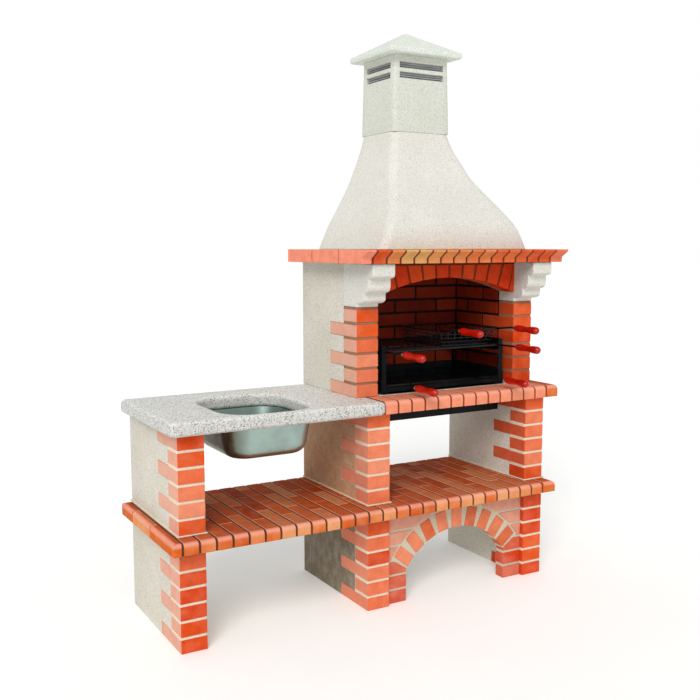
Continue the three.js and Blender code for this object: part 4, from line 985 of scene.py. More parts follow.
class BARBECUE_OT_arch(bpy.types.Operator):
    """Build the ring of wedge-jointed bricks, the level bricks beside it and their mortar."""
    bl_idname = "barbecue.arch"
    bl_label = "Arch"

    def execute(self, context):
        s, a = settings().bricks, settings().arch
        rng = seeded("arch")
        ring_low, ring_high = low_high("arch_ring")
        middle = (ring_low[0] + ring_high[0]) / 2
        front = ring_low[1]
        panel_low, panel_high = low_high("arch_panel")
        back = panel_high[1] - s.recess / 8
        centre = a.rise - a.radius
        angle = (np.arange(a.count) - (a.count - 1) / 2) * a.pitch
        corners = box_corners([-s.height / 2, front, a.radius], [s.height / 2, back, a.radius + a.wedge])
        across, up = corners[..., 0], corners[..., 2]
        cos, sin = np.cos(angle)[:, None], np.sin(angle)[:, None]
        corners = rows_of(middle + across * cos + up * sin, corners[..., 1], centre - across * sin + up * cos)
        shape = blocks(corners, rng.uniform(0.25, 1.0, a.count))
        piece("arch_ring_bricks", shape, "arch_brick", "arch_ring", slot="brick", worn=s.worn_edge)

        # Distance of the ring's outer side from the pier, as a function of the height
        half = a.count / 2 * a.pitch
        outer = a.radius + a.wedge + s.joint
        reach = middle - low_high("arch_left_bricks")[0][0]
        end, start = ([reach - r * math.sin(half), centre + r * math.cos(half)] for r in (a.radius, outer))

        def limit(z):
            arc = reach - np.sqrt(np.maximum(outer ** 2 - (z - centre) ** 2, 0))
            line = np.interp(z, [end[1], start[1]], [end[0], start[0]])
            return np.where(z < end[1], a.leg, np.where(z < start[1], np.minimum(a.leg, line), arc))

        for side, sign in (("left", 1), ("right", -1)):
            node = f"arch_{side}_bricks"
            edge = low_high(node)[0 if sign > 0 else 1][0]
            bricks = []
            for k in range(s.courses):
                z = k * (s.height + s.joint)
                room = reach - a.crown_half if z > end[1] else a.leg
                near = 0.0
                while near < room:
                    outline = haunch_outline(z, z + s.height, near, min(near + s.length, room), limit)
                    if outline is not None and outline[:, 0].max() - near > 2 * s.joint:
                        x = outline[:, 0] - (s.wobble if near == 0 else 0)
                        placed = np.stack([edge + sign * (x + s.wobble), outline[:, 1]], 1)
                        tone = rng.uniform(0.4, 0.9) if z > end[1] else rng.uniform(0.0, 0.2)
                        bricks.append(carried(placed, front, back, axis=1, tones=tone))
                    near += s.length + s.joint
            piece(node + "_faces", merged(bricks), "haunch_brick", node, slot="brick", worn=s.worn_edge)

        # The cast mortar behind the bricks: the legs, a shallow step and the arc, a little back from them
        sweep = np.linspace(half, -half, 61)
        radius = a.radius + s.wobble
        arc = np.stack([middle + radius * np.sin(sweep), centre + radius * np.cos(sweep)], 1)
        leg = reach - a.leg + s.wobble
        outline = np.concatenate([
            [[panel_high[0], 0], [panel_high[0], panel_high[2]], [panel_low[0], panel_high[2]],
             [panel_low[0], 0], [middle - leg, 0], [middle - leg, arc[0, 1]]],
            arc[::-1], [[middle + leg, arc[0, 1]], [middle + leg, 0]]])
        cast = carried(outline, front + s.recess, panel_high[1], axis=1)
        piece("arch_mortar", cast, "arch_mortar", "arch_panel", slot="brick", smooth=False)
        return {"FINISHED"}


def nose(low, high, front, back, top):
    """(y, z) outline of a tile: a quarter circle over its front, and a body thinner than the hanging nose."""
    t = settings().tiles
    angle = np.linspace(np.pi, np.pi / 2, t.arc_steps + 1)
    arc = np.array([front, top]) + t.nose_radius * np.stack([1 + np.cos(angle), np.sin(angle) - 1], 1)
    step, under = low[1] + t.nose_depth, high[2] - t.thickness
    return np.concatenate([arc, [[back, top], [back, under], [step, under], [step, low[2]], [front, low[2]]]])


def tiled(place, name, clay, mortar, start, pitch, rng, second_rows=False):
    """Rows of tiles from front to back on their mortar: a nosed one, and flat ones behind where asked for."""
    t, s = settings().tiles, settings().bricks
    low, high = low_high(place + "_tiles")
    top, gap = high[2], t.tight_joint / 2
    shapes = []
    for k in range(int(round((high[0] - low[0]) / pitch))):
        left = low[0] + start + k * pitch
        right = left + (pitch - t.joint)
        ends = [high[1]]
        if second_rows:
            shift = rng.uniform(-t.shift, t.shift)
            first = low[1] + t.length + t.nose_radius - (t.offset if k % 2 else 0) + shift
            ends = [*np.arange(first, high[1] - t.nose_depth, t.length), high[1]]
        outline = nose(low, high, low[1], ends[0] - gap, top)
        outline[:, 1] -= rng.uniform(0, s.wobble)
        shapes.append(carried(outline, left, right, tones=rng.uniform(0.35, 0.85)))
        for near, far in zip(ends[:-1], ends[1:]):
            far_end = [right, far - (0 if far == ends[-1] else gap), top - rng.uniform(0, s.wobble)]
            block = box_corners([left, near + gap, top - t.thickness], far_end)
            shapes.append(blocks(block, rng.uniform(0.0, 1.0)))
    piece(name, merged(shapes), clay, place + "_tiles", slot="tile", worn=s.worn_edge)
    bed = nose(low, high, low[1] + s.recess, high[1] - s.tight_recess, top - s.tight_recess)
    piece(place + "_mortar", carried(bed, low[0], high[0]), mortar, slot="tile", smooth=False)


def end_row(name, node, lengths, outer, rng):
    """Bricks that close a tiled surface, with a round outer top edge and, on the first one, front edge."""
    t, s = settings().tiles, settings().bricks
    low, high = low_high(node)
    starts = low[1] + np.cumsum([0, *lengths[:-1]])
    stops = np.minimum(starts + lengths - t.tight_joint - (t.joint / 2 if outer == "left" else 0), high[1])
    corners = box_corners(rows_of(low[0], starts, low[2]), rows_of(high[0], stops, high[2]))
    shape = blocks(corners, np.resize([0.5, 0.75, 0.4], len(starts)), rng, s.wobble / 2)
    made = piece(name, shape, "tile", node)
    mesh = made.data
    points = np.zeros(len(mesh.vertices) * 3)
    mesh.vertices.foreach_get("co", points)
    pairs = np.zeros(len(mesh.edges) * 2, np.int32)
    mesh.edges.foreach_get("vertices", pairs)
    ends = points.reshape(-1, 3)[pairs.reshape(-1, 2)]

    def near(axis, value):
        return np.all(np.abs(ends[:, :, axis] - value) < 2 * s.wobble, 1)

    along_y = np.abs(ends[:, 0, 1] - ends[:, 1, 1]) > t.nose_depth
    wall = low[0] if outer == "left" else high[0]
    round_edge = near(2, high[2]) & (near(0, wall) & along_y | near(1, low[1]))
    weights = mesh.attributes.new("bevel_weight_edge", "FLOAT", "EDGE").data
    weights.foreach_set("value", np.where(round_edge, 1.0, s.worn_edge / t.nose_radius).astype(np.float32))
    bevel = made.modifiers.new("round_edges", "BEVEL")
    bevel.width = t.nose_radius
    bevel.segments = t.arc_steps
    bevel.limit_method = "WEIGHT"
    bevel.harden_normals = True


class BARBECUE_OT_shelf(bpy.types.Operator):
    """Build the tiled shelf: rows with a nosed front, end bricks and dark mortar."""
    bl_idname = "barbecue.shelf"
    bl_label = "Shelf"

    def execute(self, context):
        s, t = settings().bricks, settings().tiles
        rng = seeded("shelf")
        tiled("shelf", "shelf_tile_rows", "tile", "dark_mortar", t.joint, t.shelf_pitch, rng, True)
        for side in SIDES:
            node = f"shelf_{side}_end_bricks"
            low, high = low_high(node)
            rest = high[1] - low[1] - 2 * t.shelf_end + s.length / 4
            end_row(node + "_row", node, [t.shelf_end, t.shelf_end - s.length / 4, rest], side, rng)
        dress("shelf_slab", "washed_concrete", s.worn_edge)
        return {"FINISHED"}


class BARBECUE_OT_ledge(bpy.types.Operator):
    """Build the ledge under the firebox: nosed tiles, end bricks and mortar."""
    bl_idname = "barbecue.ledge"
    bl_label = "Ledge"

    def execute(self, context):
        s, t = settings().bricks, settings().tiles
        rng = seeded("ledge")
        tiled("ledge", "ledge_tile_row", "ledge_tile", "red_mortar", 0, t.ledge_pitch, rng)
        low, high = low_high("ledge_end_bricks")
        lengths = [s.length, s.length, high[1] - low[1] - 2 * s.length]
        end_row("ledge_end_row", "ledge_end_bricks", lengths, "right", rng)
        dress("ledge_slab", "washed_concrete", s.worn_edge)
        return {"FINISHED"}


# Share of a corbel's height of each upright face and of the curve under it, and how far each tier stands out
CORBEL_HEIGHTS = ((0.243, 0.089), (0.148, 0.183), (0.13, 0.124))
CORBEL_REACHES = (1, 0.744, 0.455, 0)


class BARBECUE_OT_firebox(bpy.types.Operator):
    """Build the brick lining of the firebox, the corbels and the arched lintel."""
    bl_idname = "barbecue.firebox"
    bl_label = "Firebox"

    def execute(self, context):
        s = settings().bricks
        rng = seeded("lining")
        low, high = low_high("firebox_back_lining")
        rows = np.arange(low[2], high[2] - s.height / 2, s.height + s.fire_joint)
        pitch = s.back_length + s.fire_joint
        middle = (low[0] + high[0]) / 2
        spots = []
        for k, z in enumerate(rows):
            x = middle - 2 * pitch + (pitch / 2 if k % 2 == 0 else 0) + np.arange(5) * pitch
            starts = np.maximum(x + s.fire_joint / 2, low[0])
            stops = np.minimum(x + pitch - s.fire_joint / 2, high[0])
            spots += [((start, low[1], z), (stop, high[1], min(z + s.height, high[2])))
                      for start, stop in zip(starts, stops) if stop - start > s.fire_joint]
        self.bricks("firebox_back_lining", "firebox_back_bricks", spots, 0.2, 0.9, rng)
        lap = 2 * s.recess
        corner = s.recess / 2 + s.tight_recess
        beds = [rough_box(low + [-lap, s.tight_recess, 0], high + [lap, 0, 0], s.relief, rng, s.coarse_cell)]
        for x in (low[0], high[0]):
            place = np.array([x, low[1]])
            ends = [*(place - corner), low[2]], [*(place + corner), high[2]]
            beds.append(rough_box(*ends, s.relief / 2, rng))
        piece("firebox_back_mortar", merged(beds), "soot_mortar", slot="firebrick")
        for side in SIDES:
            self.side_lining(side, rows, lap, rng)
            self.corbel(side)
        self.lintel(rng)
        return {"FINISHED"}

    def bricks(self, node, name, spots, darkest, lightest, rng):
        """Lining bricks from their low and high corners."""
        s = settings().bricks
        lows, highs = zip(*spots)
        shape = blocks(box_corners(lows, highs), rng.uniform(darkest, lightest, len(lows)), rng, s.wobble)
        piece(name, shape, "firebrick", node, worn=s.worn_edge)

    def side_lining(self, side, rows, lap, rng):
        """Courses of one side wall behind its quoins and over its corbel, and the mortar behind them."""
        s = settings().bricks
        node = f"firebox_{side}_lining"
        low, high = low_high(node)
        front = low_high(f"firebox_{side}_quoins")[0][1]
        corbel_low, corbel_high = low_high(f"{side}_corbel")
        spots = []
        for k, z in enumerate(rows):
            long = k % 2 == 0
            under_corbel = k < s.courses
            start = front + (s.length if long else s.width) if under_corbel else corbel_high[1]
            y = start + s.fire_joint
            length = s.width if long and not under_corbel else s.length
            while y < high[1] - s.fire_joint:
                stop = min(y + length, high[1])
                spots.append(((low[0], y, z), (high[0], stop, min(z + s.height, high[2]))))
                y = stop + s.fire_joint
                length = s.length
        self.bricks(node, node + "_bricks", spots, 0.3, 1.0, rng)
        if side == "left":
            high[0] -= s.tight_recess
        else:
            low[0] += s.tight_recess
        high[1] += lap
        ends = [([low[0], front + s.width + s.recess, low[2]], [high[0], high[1], corbel_low[2]]),
                ([low[0], corbel_high[1] + s.recess / 4, corbel_low[2]], high)]
        beds = [rough_box(*end, s.relief, rng, s.coarse_cell) for end in ends]
        piece(node + "_mortar", merged(beds), "soot_mortar", slot="firebrick")

    def corbel(self, side):
        """Stepped corbel: for each tier an upright face and a curve under it, carried across the wall."""
        node = f"{side}_corbel"
        low, high = low_high(node)
        front = low_high(f"firebox_{side}_quoins")[0][1]
        height = high[2] - low[2]
        faces = [front - share * (front - low[1]) for share in CORBEL_REACHES]
        points = [[high[1], low[2]], [high[1], high[2]], [faces[0], high[2]]]
        z = high[2]
        share = np.linspace(0, 1, 9)[1:, None]
        for (upright, curved), face, behind in zip(CORBEL_HEIGHTS, faces, faces[1:]):
            z -= upright * height
            points.append([face, z])
            under = z - curved * height
            ends = np.array([[face, z], [face, under], [behind, under]])
            points += quadratic(*ends, share).tolist()
            z = under
        points.append([front, low[2]])
        shape = carried(points, low[0], high[0])
        piece(node + "_stone", shape, "pale_concrete", node, worn=settings().stone.corbel_wear, segments=3,
              angle=40)

    def lintel(self, rng):
        """Segmental arch: wedges between two radial lines each, cut level under the cornice."""
        s, a = settings().bricks, settings().arch
        low, high = low_high("lintel_bricks")
        middle, half = (low[0] + high[0]) / 2, (high[0] - low[0]) / 2
        centre = high[2] - a.lintel_drop - a.lintel_radius
        pitch = a.lintel_brick + s.fire_joint
        count = 2 * math.ceil(half / pitch)
        at = (np.arange(count) - (count - 1) / 2) * pitch / a.lintel_radius
        spread = a.lintel_brick / 2 / a.lintel_radius
        top = high[2] - s.fire_joint
        corners = np.zeros((count, 8, 3))
        for number, (side, deep, level) in enumerate(CORNER_PICK):
            angle = at + (2 * side - 1) * spread
            across = np.clip(a.lintel_radius * np.sin(angle), -half, half)
            x, z = middle + across, centre + np.sqrt(a.lintel_radius ** 2 - across ** 2)
            if level:
                x, z = middle + np.tan(angle) * (top - centre), top
            corners[:, number] = rows_of(np.clip(x, low[0], high[0]), (high if deep else low)[1], z)
        keep = corners[:, :, 0].max(1) - corners[:, :, 0].min(1) > s.fire_joint
        shape = blocks(corners[keep], rng.uniform(0.25, 0.75, keep.sum()))
        piece("lintel_wedges", shape, "lintel_brick", "lintel_bricks", slot="brick", worn=s.worn_edge)
        end = math.asin(half / a.lintel_radius)
        sweep = np.linspace(-end, end, 40)
        radius = a.lintel_radius + s.recess
        arc = np.stack([middle + radius * np.sin(sweep), centre + radius * np.cos(sweep)], 1)
        arc[[0, -1], 0] = low[0], high[0]
        outline = np.concatenate([arc, [[high[0], high[2]], [low[0], high[2]]]])
        shape = carried(outline, low[1] + s.recess, high[1], axis=1)
        piece("lintel_mortar", shape, "red_mortar", slot="brick", smooth=False)
        dress("lintel_beam", "fire_mortar", s.worn_edge)


# Tone of the cornice tiles from left to right: red, then tan, then red again
CORNICE_SHARES = (0, 0.05, 0.1, 0.34, 0.45, 0.66, 0.75, 1)
CORNICE_TONES = (0.1, 0.1, 1, 0.9, 0.6, 0.5, 0.15, 0.05)


class BARBECUE_OT_cornice(bpy.types.Operator):
    """Build the cornice: flared front tiles, side bricks, mortar and slab."""
    bl_idname = "barbecue.cornice"
    bl_label = "Cornice"

    def profile(self, front, back, bottom, top):
        """(y, z) outline that leans out from a lip at the foot to a fascia at the top."""
        c = settings().stone
        return np.array([
            [front + c.cornice_flare, bottom], [back, bottom], [back, top], [front, top],
            [front, top - c.cornice_fascia], [front + c.cornice_flare, bottom + c.cornice_lip]])

    def execute(self, context):
        s, c = settings().bricks, settings().stone
        rng = seeded("cornice")
        low, high = low_high("cornice_front_tiles")
        count = int(round((high[0] - low[0]) / c.cornice_pitch))
        starts = low[0] + s.fire_joint + np.arange(count) * c.cornice_pitch
        outline = self.profile(low[1], high[1], low[2], high[2])
        drift = np.interp(np.linspace(0, 1, count), CORNICE_SHARES, CORNICE_TONES)
        shape = carried(outline, starts, starts + c.cornice_pitch - s.fire_joint,
                        tones=np.clip(drift + rng.uniform(-0.18, 0.18, count), 0, 1))
        piece("cornice_tiles", shape, "cornice_tile", "cornice_front_tiles", worn=s.worn_edge)
        bed = self.profile(low[1] + s.recess, high[1], low[2], high[2] - s.tight_recess)
        shape = carried(bed, low[0], high[0])
        piece("cornice_mortar", shape, "red_mortar", slot="cornice_tile", smooth=False)
        for side, clay in (("left", "side_brick"), ("right", "brick")):
            node = f"cornice_{side}_bricks"
            low, high = low_high(node)
            first = self.profile(low[1], low[1] + c.cornice_side - s.fire_joint, low[2], high[2])
            starts = low[1] + c.cornice_side * np.arange(1, 3)
            stops = np.array([starts[0] + c.cornice_side - s.fire_joint, high[1]])
            corners = box_corners(rows_of(low[0], starts, low[2]), rows_of(high[0], stops, high[2]))
            row = [carried(first, low[0], high[0], tones=0.8), blocks(corners, rng.uniform(0.4, 0.9, 2))]
            piece(node + "_row", merged(row), clay, node, slot="tile", worn=s.worn_edge)
            core_high = high - [s.recess, s.tight_recess, s.tight_recess]
            core = blocks(box_corners(low + [s.recess, c.cornice_flare + s.recess, 0], core_high), PLAIN)
            piece(node + "_mortar", core, "fire_mortar", slot="tile", smooth=False)
        dress("cornice_slab", "washed_concrete", s.worn_edge)
        return {"FINISHED"}


class BARBECUE_OT_worktop(bpy.types.Operator):
    """Build the stone worktop, the pressed bowl and its waste."""
    bl_idname = "barbecue.worktop"
    bl_label = "Worktop and sink"

    def execute(self, context):
        c = settings().stone
        low, high = low_high("worktop")
        bowl_low, bowl_high = low_high("sink_bowl")
        middle = (bowl_low + bowl_high)[:2] / 2
        half = np.array([c.hole_half_x, c.hole_half_y])

        def edge(inset, z):
            radius = max(c.corner_radius - inset, 0.004)
            return rounded_ring(low[:2] + inset, high[:2] - inset, radius, z, 10, 12)

        def hole(inset, z):
            radius = c.hole_radius + inset
            return rounded_ring(middle - half - inset, middle + half + inset, radius, z, 10, 12)

        quarter = np.linspace(0, np.pi / 2, 7)
        bow = np.stack([1 - np.cos(quarter), 1 - np.sin(quarter)], 1) * c.edge_radius
        rings = [hole(inset, low[2] + rise) for inset, rise in bow[::-1]]
        rings += [hole(inset, high[2] - rise) for inset, rise in bow]
        rings += [edge(inset, high[2] - rise) for inset, rise in bow[::-1]]
        rings += [edge(inset, low[2] + rise) for inset, rise in bow]
        piece("worktop_stone", shell(rings), "granite", "worktop")
        self.bowl(c, bowl_low, bowl_high, middle)
        return {"FINISHED"}

    def bowl(self, c, low, high, middle):
        """Pressed bowl of rounded rectangles: from the drain round the foot and up the outside to the flange,
        then the same way back a sheet further in."""
        half = (high - low)[:2] / 2 - c.bowl_flange
        flat = c.bowl_taper + c.bowl_foot

        def ring(inset, z):
            radius = max(c.bowl_radius - inset, c.bowl_foot)
            return rounded_ring(middle - half + inset, middle + half - inset, radius, z, 12, 8)

        def drain(z):
            reach = c.drain_radius
            return rounded_ring(middle - reach, middle + reach, reach * 0.999, z, 12, 8)

        def wall(sheet):
            foot = c.bowl_foot - sheet
            floor = low[2] + c.bowl_foot
            start = np.array([sheet, high[2] - (0 if sheet else c.bowl_sheet)])
            stop = np.array([c.bowl_taper + sheet, floor])
            straight = [ring(*(start + share * (stop - start))) for share in np.linspace(0, 1, 5)[:-1]]
            quarter = np.linspace(0, np.pi / 2, 10)
            return straight + [ring(flat - foot * np.cos(t), floor - foot * np.sin(t)) for t in quarter]

        rings = [drain(low[2])] + wall(0.0)[::-1]
        rings += [ring(-c.bowl_flange, high[2] - c.bowl_sheet), ring(-c.bowl_flange, high[2])]
        rings += wall(c.bowl_sheet) + [drain(low[2] + c.bowl_sheet)]
        fine = c.bowl_sheet / 4
        piece("sink_bowl_pressed", shell(rings), "steel", "sink_bowl", worn=fine, segments=1, angle=60)
        dress("sink_waste", "steel", fine)
        dress("sink_strainer", "ferrule", fine)


# Share of the hood's height, and of its run to the side and to the front that is left there
HOOD_SHARES = np.array([
    [0, 1, 1], [0.09, 0.91, 0.985], [0.19, 0.81, 0.94], [0.32, 0.645, 0.78], [0.46, 0.47, 0.565],
    [0.6, 0.315, 0.34], [0.73, 0.195, 0.215], [0.86, 0.085, 0.09], [1, 0, 0]])
SLOTS = 2
BLADES = 3


class BARBECUE_OT_chimney(bpy.types.Operator):
    """Build the hood, the stack with its louvred slots, and the cap."""
    bl_idname = "barbecue.chimney"
    bl_label = "Chimney"

    def execute(self, context):
        c = settings().stone
        low, high = low_high("chimney_stack")
        self.hood(c, low, high)
        middle, half = (low + high)[:2] / 2, (high - low)[:2] / 2
        tops = [high[2] - c.vent_drop - k * (c.vent_height + c.vent_bar) for k in range(SLOTS)]
        self.stack(c, low, high, middle, half, tops)
        self.louvres(c, middle, half, tops)
        self.cap(c)
        return {"FINISHED"}

    def hood(self, c, stack_low, stack_high):
        """Shell of rings whose side and front runs follow a smooth curve through a table of shares."""
        low, high = low_high("hood")
        side_run, front_run = (stack_low - low)[:2]
        rows = np.linspace(0, 1, 49)
        runs = smooth_table(HOOD_SHARES, rows)

        def ring(height, side, front, inset):
            near = [stack_low[0] - side * side_run + inset, stack_low[1] - front * front_run + inset]
            far = [stack_high[0] + side * side_run - inset, high[1] - inset]
            return rounded_ring(near, far, c.hood_corner, low[2] + height * (high[2] - low[2]), 6, 16)

        outer, inner = (
            [ring(row, *run, inset) for row, run in zip(rows, runs)] for inset in (0, c.hood_wall))
        piece("hood_shell", shell(outer + inner[::-1]), "pale_concrete", "hood", worn=c.hood_wear, angle=50)

    def stack(self, c, low, high, middle, half, tops):
        """Tube with slots: outer and inner wall on one grid of stations, with rims in place of some cells."""
        levels = np.array([low[2], *(z for top in tops[::-1] for z in (top - c.vent_height, top)), high[2]])
        vents = c.vent_along / 2, c.vent_across / 2
        quarter = np.linspace(0, np.pi / 2, 4)
        bow = c.stack_corner * np.stack([1 - np.cos(quarter), 1 - np.sin(quarter)], 1)
        side_count = len(bow) + 2

        def station(inset, z):
            points = []
            for k in range(4):
                across, along = (half - inset)[[k % 2, 1 - k % 2]]
                local = [[across, -vents[k % 2]], [across, vents[k % 2]]]
                local += [[across - drawn_in, along - pulled] for drawn_in, pulled in bow]
                cos, sin = np.cos(k * np.pi / 2), np.sin(k * np.pi / 2)
                points.append(np.array(local) @ np.array([[cos, sin], [-sin, cos]]))
            outline = middle + np.concatenate(points)
            return rows_of(outline[:, 0], outline[:, 1], z)

        insets = c.stack_taper * (levels - low[2]) / (high[2] - low[2])
        walls = np.array([
            [station(inset + wall, z) for inset, z in zip(insets, levels)] for wall in (0, c.stack_wall)])
        rows, columns = walls.shape[1:3]

        def corner(wall, v, u):
            return (wall * rows + v) * columns + u % columns

        def cell(v, u):
            """Faces of one cell of the grid: a piece of each wall, or the rim of a slot."""
            around = ((v, u), (v, u + 1), (v + 1, u + 1), (v + 1, u))
            if v % 2 == 0 or u % side_count:
                return [[corner(wall, *at) for at in around] for wall in (0, 1)]
            return [bridge(a, b) for a, b in zip(around, around[1:] + around[:1])]

        def bridge(a, b):
            """Face from an edge of the outer wall to the same edge of the inner one."""
            return [corner(0, *a), corner(1, *a), corner(1, *b), corner(0, *b)]

        faces = [face for v in range(rows - 1) for u in range(columns) for face in cell(v, u)]
        faces += [bridge((v, u), (v, u + 1)) for v in (0, rows - 1) for u in range(columns)]
        points = walls.reshape(-1, 3)
        shape = points, np.array(faces).reshape(-1), np.full(len(faces), 4), np.full(len(points), PLAIN)
        piece("stack_walls", shape, "stack_concrete", "chimney_stack", slot="pale_concrete",
              worn=c.stack_wear, angle=50)

    def louvres(self, c, middle, half, tops):
        """Tilted blades in every slot, worked out for one face and turned by quarters."""
        vents = c.vent_along / 2, c.vent_across / 2
        cos, sin = math.cos(c.blade_tilt), math.sin(c.blade_tilt)
        blades = []
        for k in range(4):
            reach = np.array([c.blade_depth / 2, vents[k % 2] + c.blade_lap, c.blade_sheet / 2])
            depth, along, thick = box_corners(-reach, reach)[0].T
            x = depth * cos - thick * sin + half[k % 2] - c.stack_taper - c.stack_wall / 2
            turn = k * np.pi / 2
            across = middle[0] + x * np.cos(turn) - along * np.sin(turn)
            deep = middle[1] + x * np.sin(turn) + along * np.cos(turn)
            up = thick * cos - depth * sin
            drops = c.vent_height * (np.arange(BLADES) + 0.5) / BLADES
            blades += [rows_of(across, deep, up + top - drop) for top in tops for drop in drops]
        piece("vent_blades", blocks(blades, PLAIN), "louvre", slot="black_steel", smooth=False,
              worn=c.blade_wear, segments=1)

    def cap(self, c):
        """Pyramid over an upright fascia: rings from the middle of its underside to the middle of its tip."""
        low, high = low_high("chimney_cap")
        middle, half = (low + high)[:2] / 2, (high - low)[:2] / 2
        eaves = low[2] + c.cap_fascia
        tip = c.cap_tip / half[0]
        edge = 1 - c.cap_rounding / half[0]
        rows = [(HEART, low[2]), (1 - c.cap_fascia / half[0] * 0.1, low[2]), (1, low[2] + c.cap_foot),
                (1, eaves - c.cap_rounding / 2), (edge, eaves)]
        rows += [(edge + (tip - 1) * t, eaves + (high[2] - eaves) * t) for t in np.linspace(0.1, 0.96, 9)]
        rows += [(tip * 0.8, high[2] - HEART), (tip * 0.4, high[2]), (HEART, high[2])]
        rings = []
        for share, z in rows:
            radius = min(c.cap_rounding, 0.4 * half[0] * share)
            rings.append(rounded_ring(middle - half * share, middle + half * share, radius, z, 3, 10))
        piece("cap_stone", tube(rings), "cap_concrete", "chimney_cap", slot="pale_concrete",
              worn=c.stack_wear, angle=40)


# Steel and grips
GRIP_SHARES = np.array(
    [[0, 0.62], [0.08, 0.88], [0.24, 0.92], [0.47, 0.76], [0.8, 1], [0.93, 0.86], [1.0, 0.5]])
GROOVES = (0.1, 0.17, 0.24, 0.31)
GROOVE_DEPTH = 0.07
GROOVE_WIDTH = 0.014
TIP_START = 0.9
GRIP_BORE = 0.03  # How far the rod goes into the grip
NEEDLE = 0.00005  # Radius that stands for the middle of a turned piece


def grip_line(node):
    """Start of a grip and the unit vector along it: it droops from its high end at the back."""
    s = settings().steel
    low, high = low_high(node)
    direction = np.array([0, -math.cos(s.grip_droop), -math.sin(s.grip_droop)])
    return (low + high) / 2 - direction * s.grip_length / 2, direction


def grip(node, body):
    """Turned grip: a radius that swells to its rounded tip, with four shallow grooves behind its waist."""
    s = settings().steel
    along = np.linspace(0, 1, 81)
    radius = smooth_table(GRIP_SHARES, along)[:, 0]
    for centre in GROOVES:
        radius = radius - GROOVE_DEPTH * np.exp(-((along - centre) / GROOVE_WIDTH) ** 2)
    tip = np.sqrt(np.clip(1 - ((along - TIP_START) / 0.101) ** 2, 0, 1))
    radius = np.clip(np.where(along > TIP_START, radius * tip, radius), 0.01, 1)
    bore = s.rod + s.bore_play
    profile = np.concatenate([
        [[GRIP_BORE, NEEDLE], [GRIP_BORE, bore], [0.0, bore]],
        np.stack([along * s.grip_length, radius * s.grip_radius], 1), [[s.grip_length, NEEDLE]]])
    piece(node + "_turned", turned(profile, *grip_line(node)), "red_wood", node, body=body)


def handled(body, shapes, roots, material, node=None):
    """The rods of one body with a bent rod from each root by a knee into its grip, and the ferrules."""
    s = settings().steel
    length, wide = s.collar_length, s.collar_radius
    collar = [[-length, s.rod], [-length, wide * 0.8], [-length * 0.7, wide], [-0.0015, wide],
              [-0.0004, wide * 0.85], [-0.0004, s.rod]]
    ferrules = []
    for side, root in zip(SIDES, roots):
        base, direction = grip_line(f"{body}_{side}_grip")
        knee = base - direction * s.knee
        shapes.append(rod(eased([root, knee, base + direction * GRIP_BORE], s.bend), s.rod))
        ferrules.append(turned(collar, base, direction, 24))
    piece(body + "_rods", merged(shapes), material, node, body=body)
    piece(body + "_ferrules", merged(ferrules), "ferrule", slot="wire", body=body)


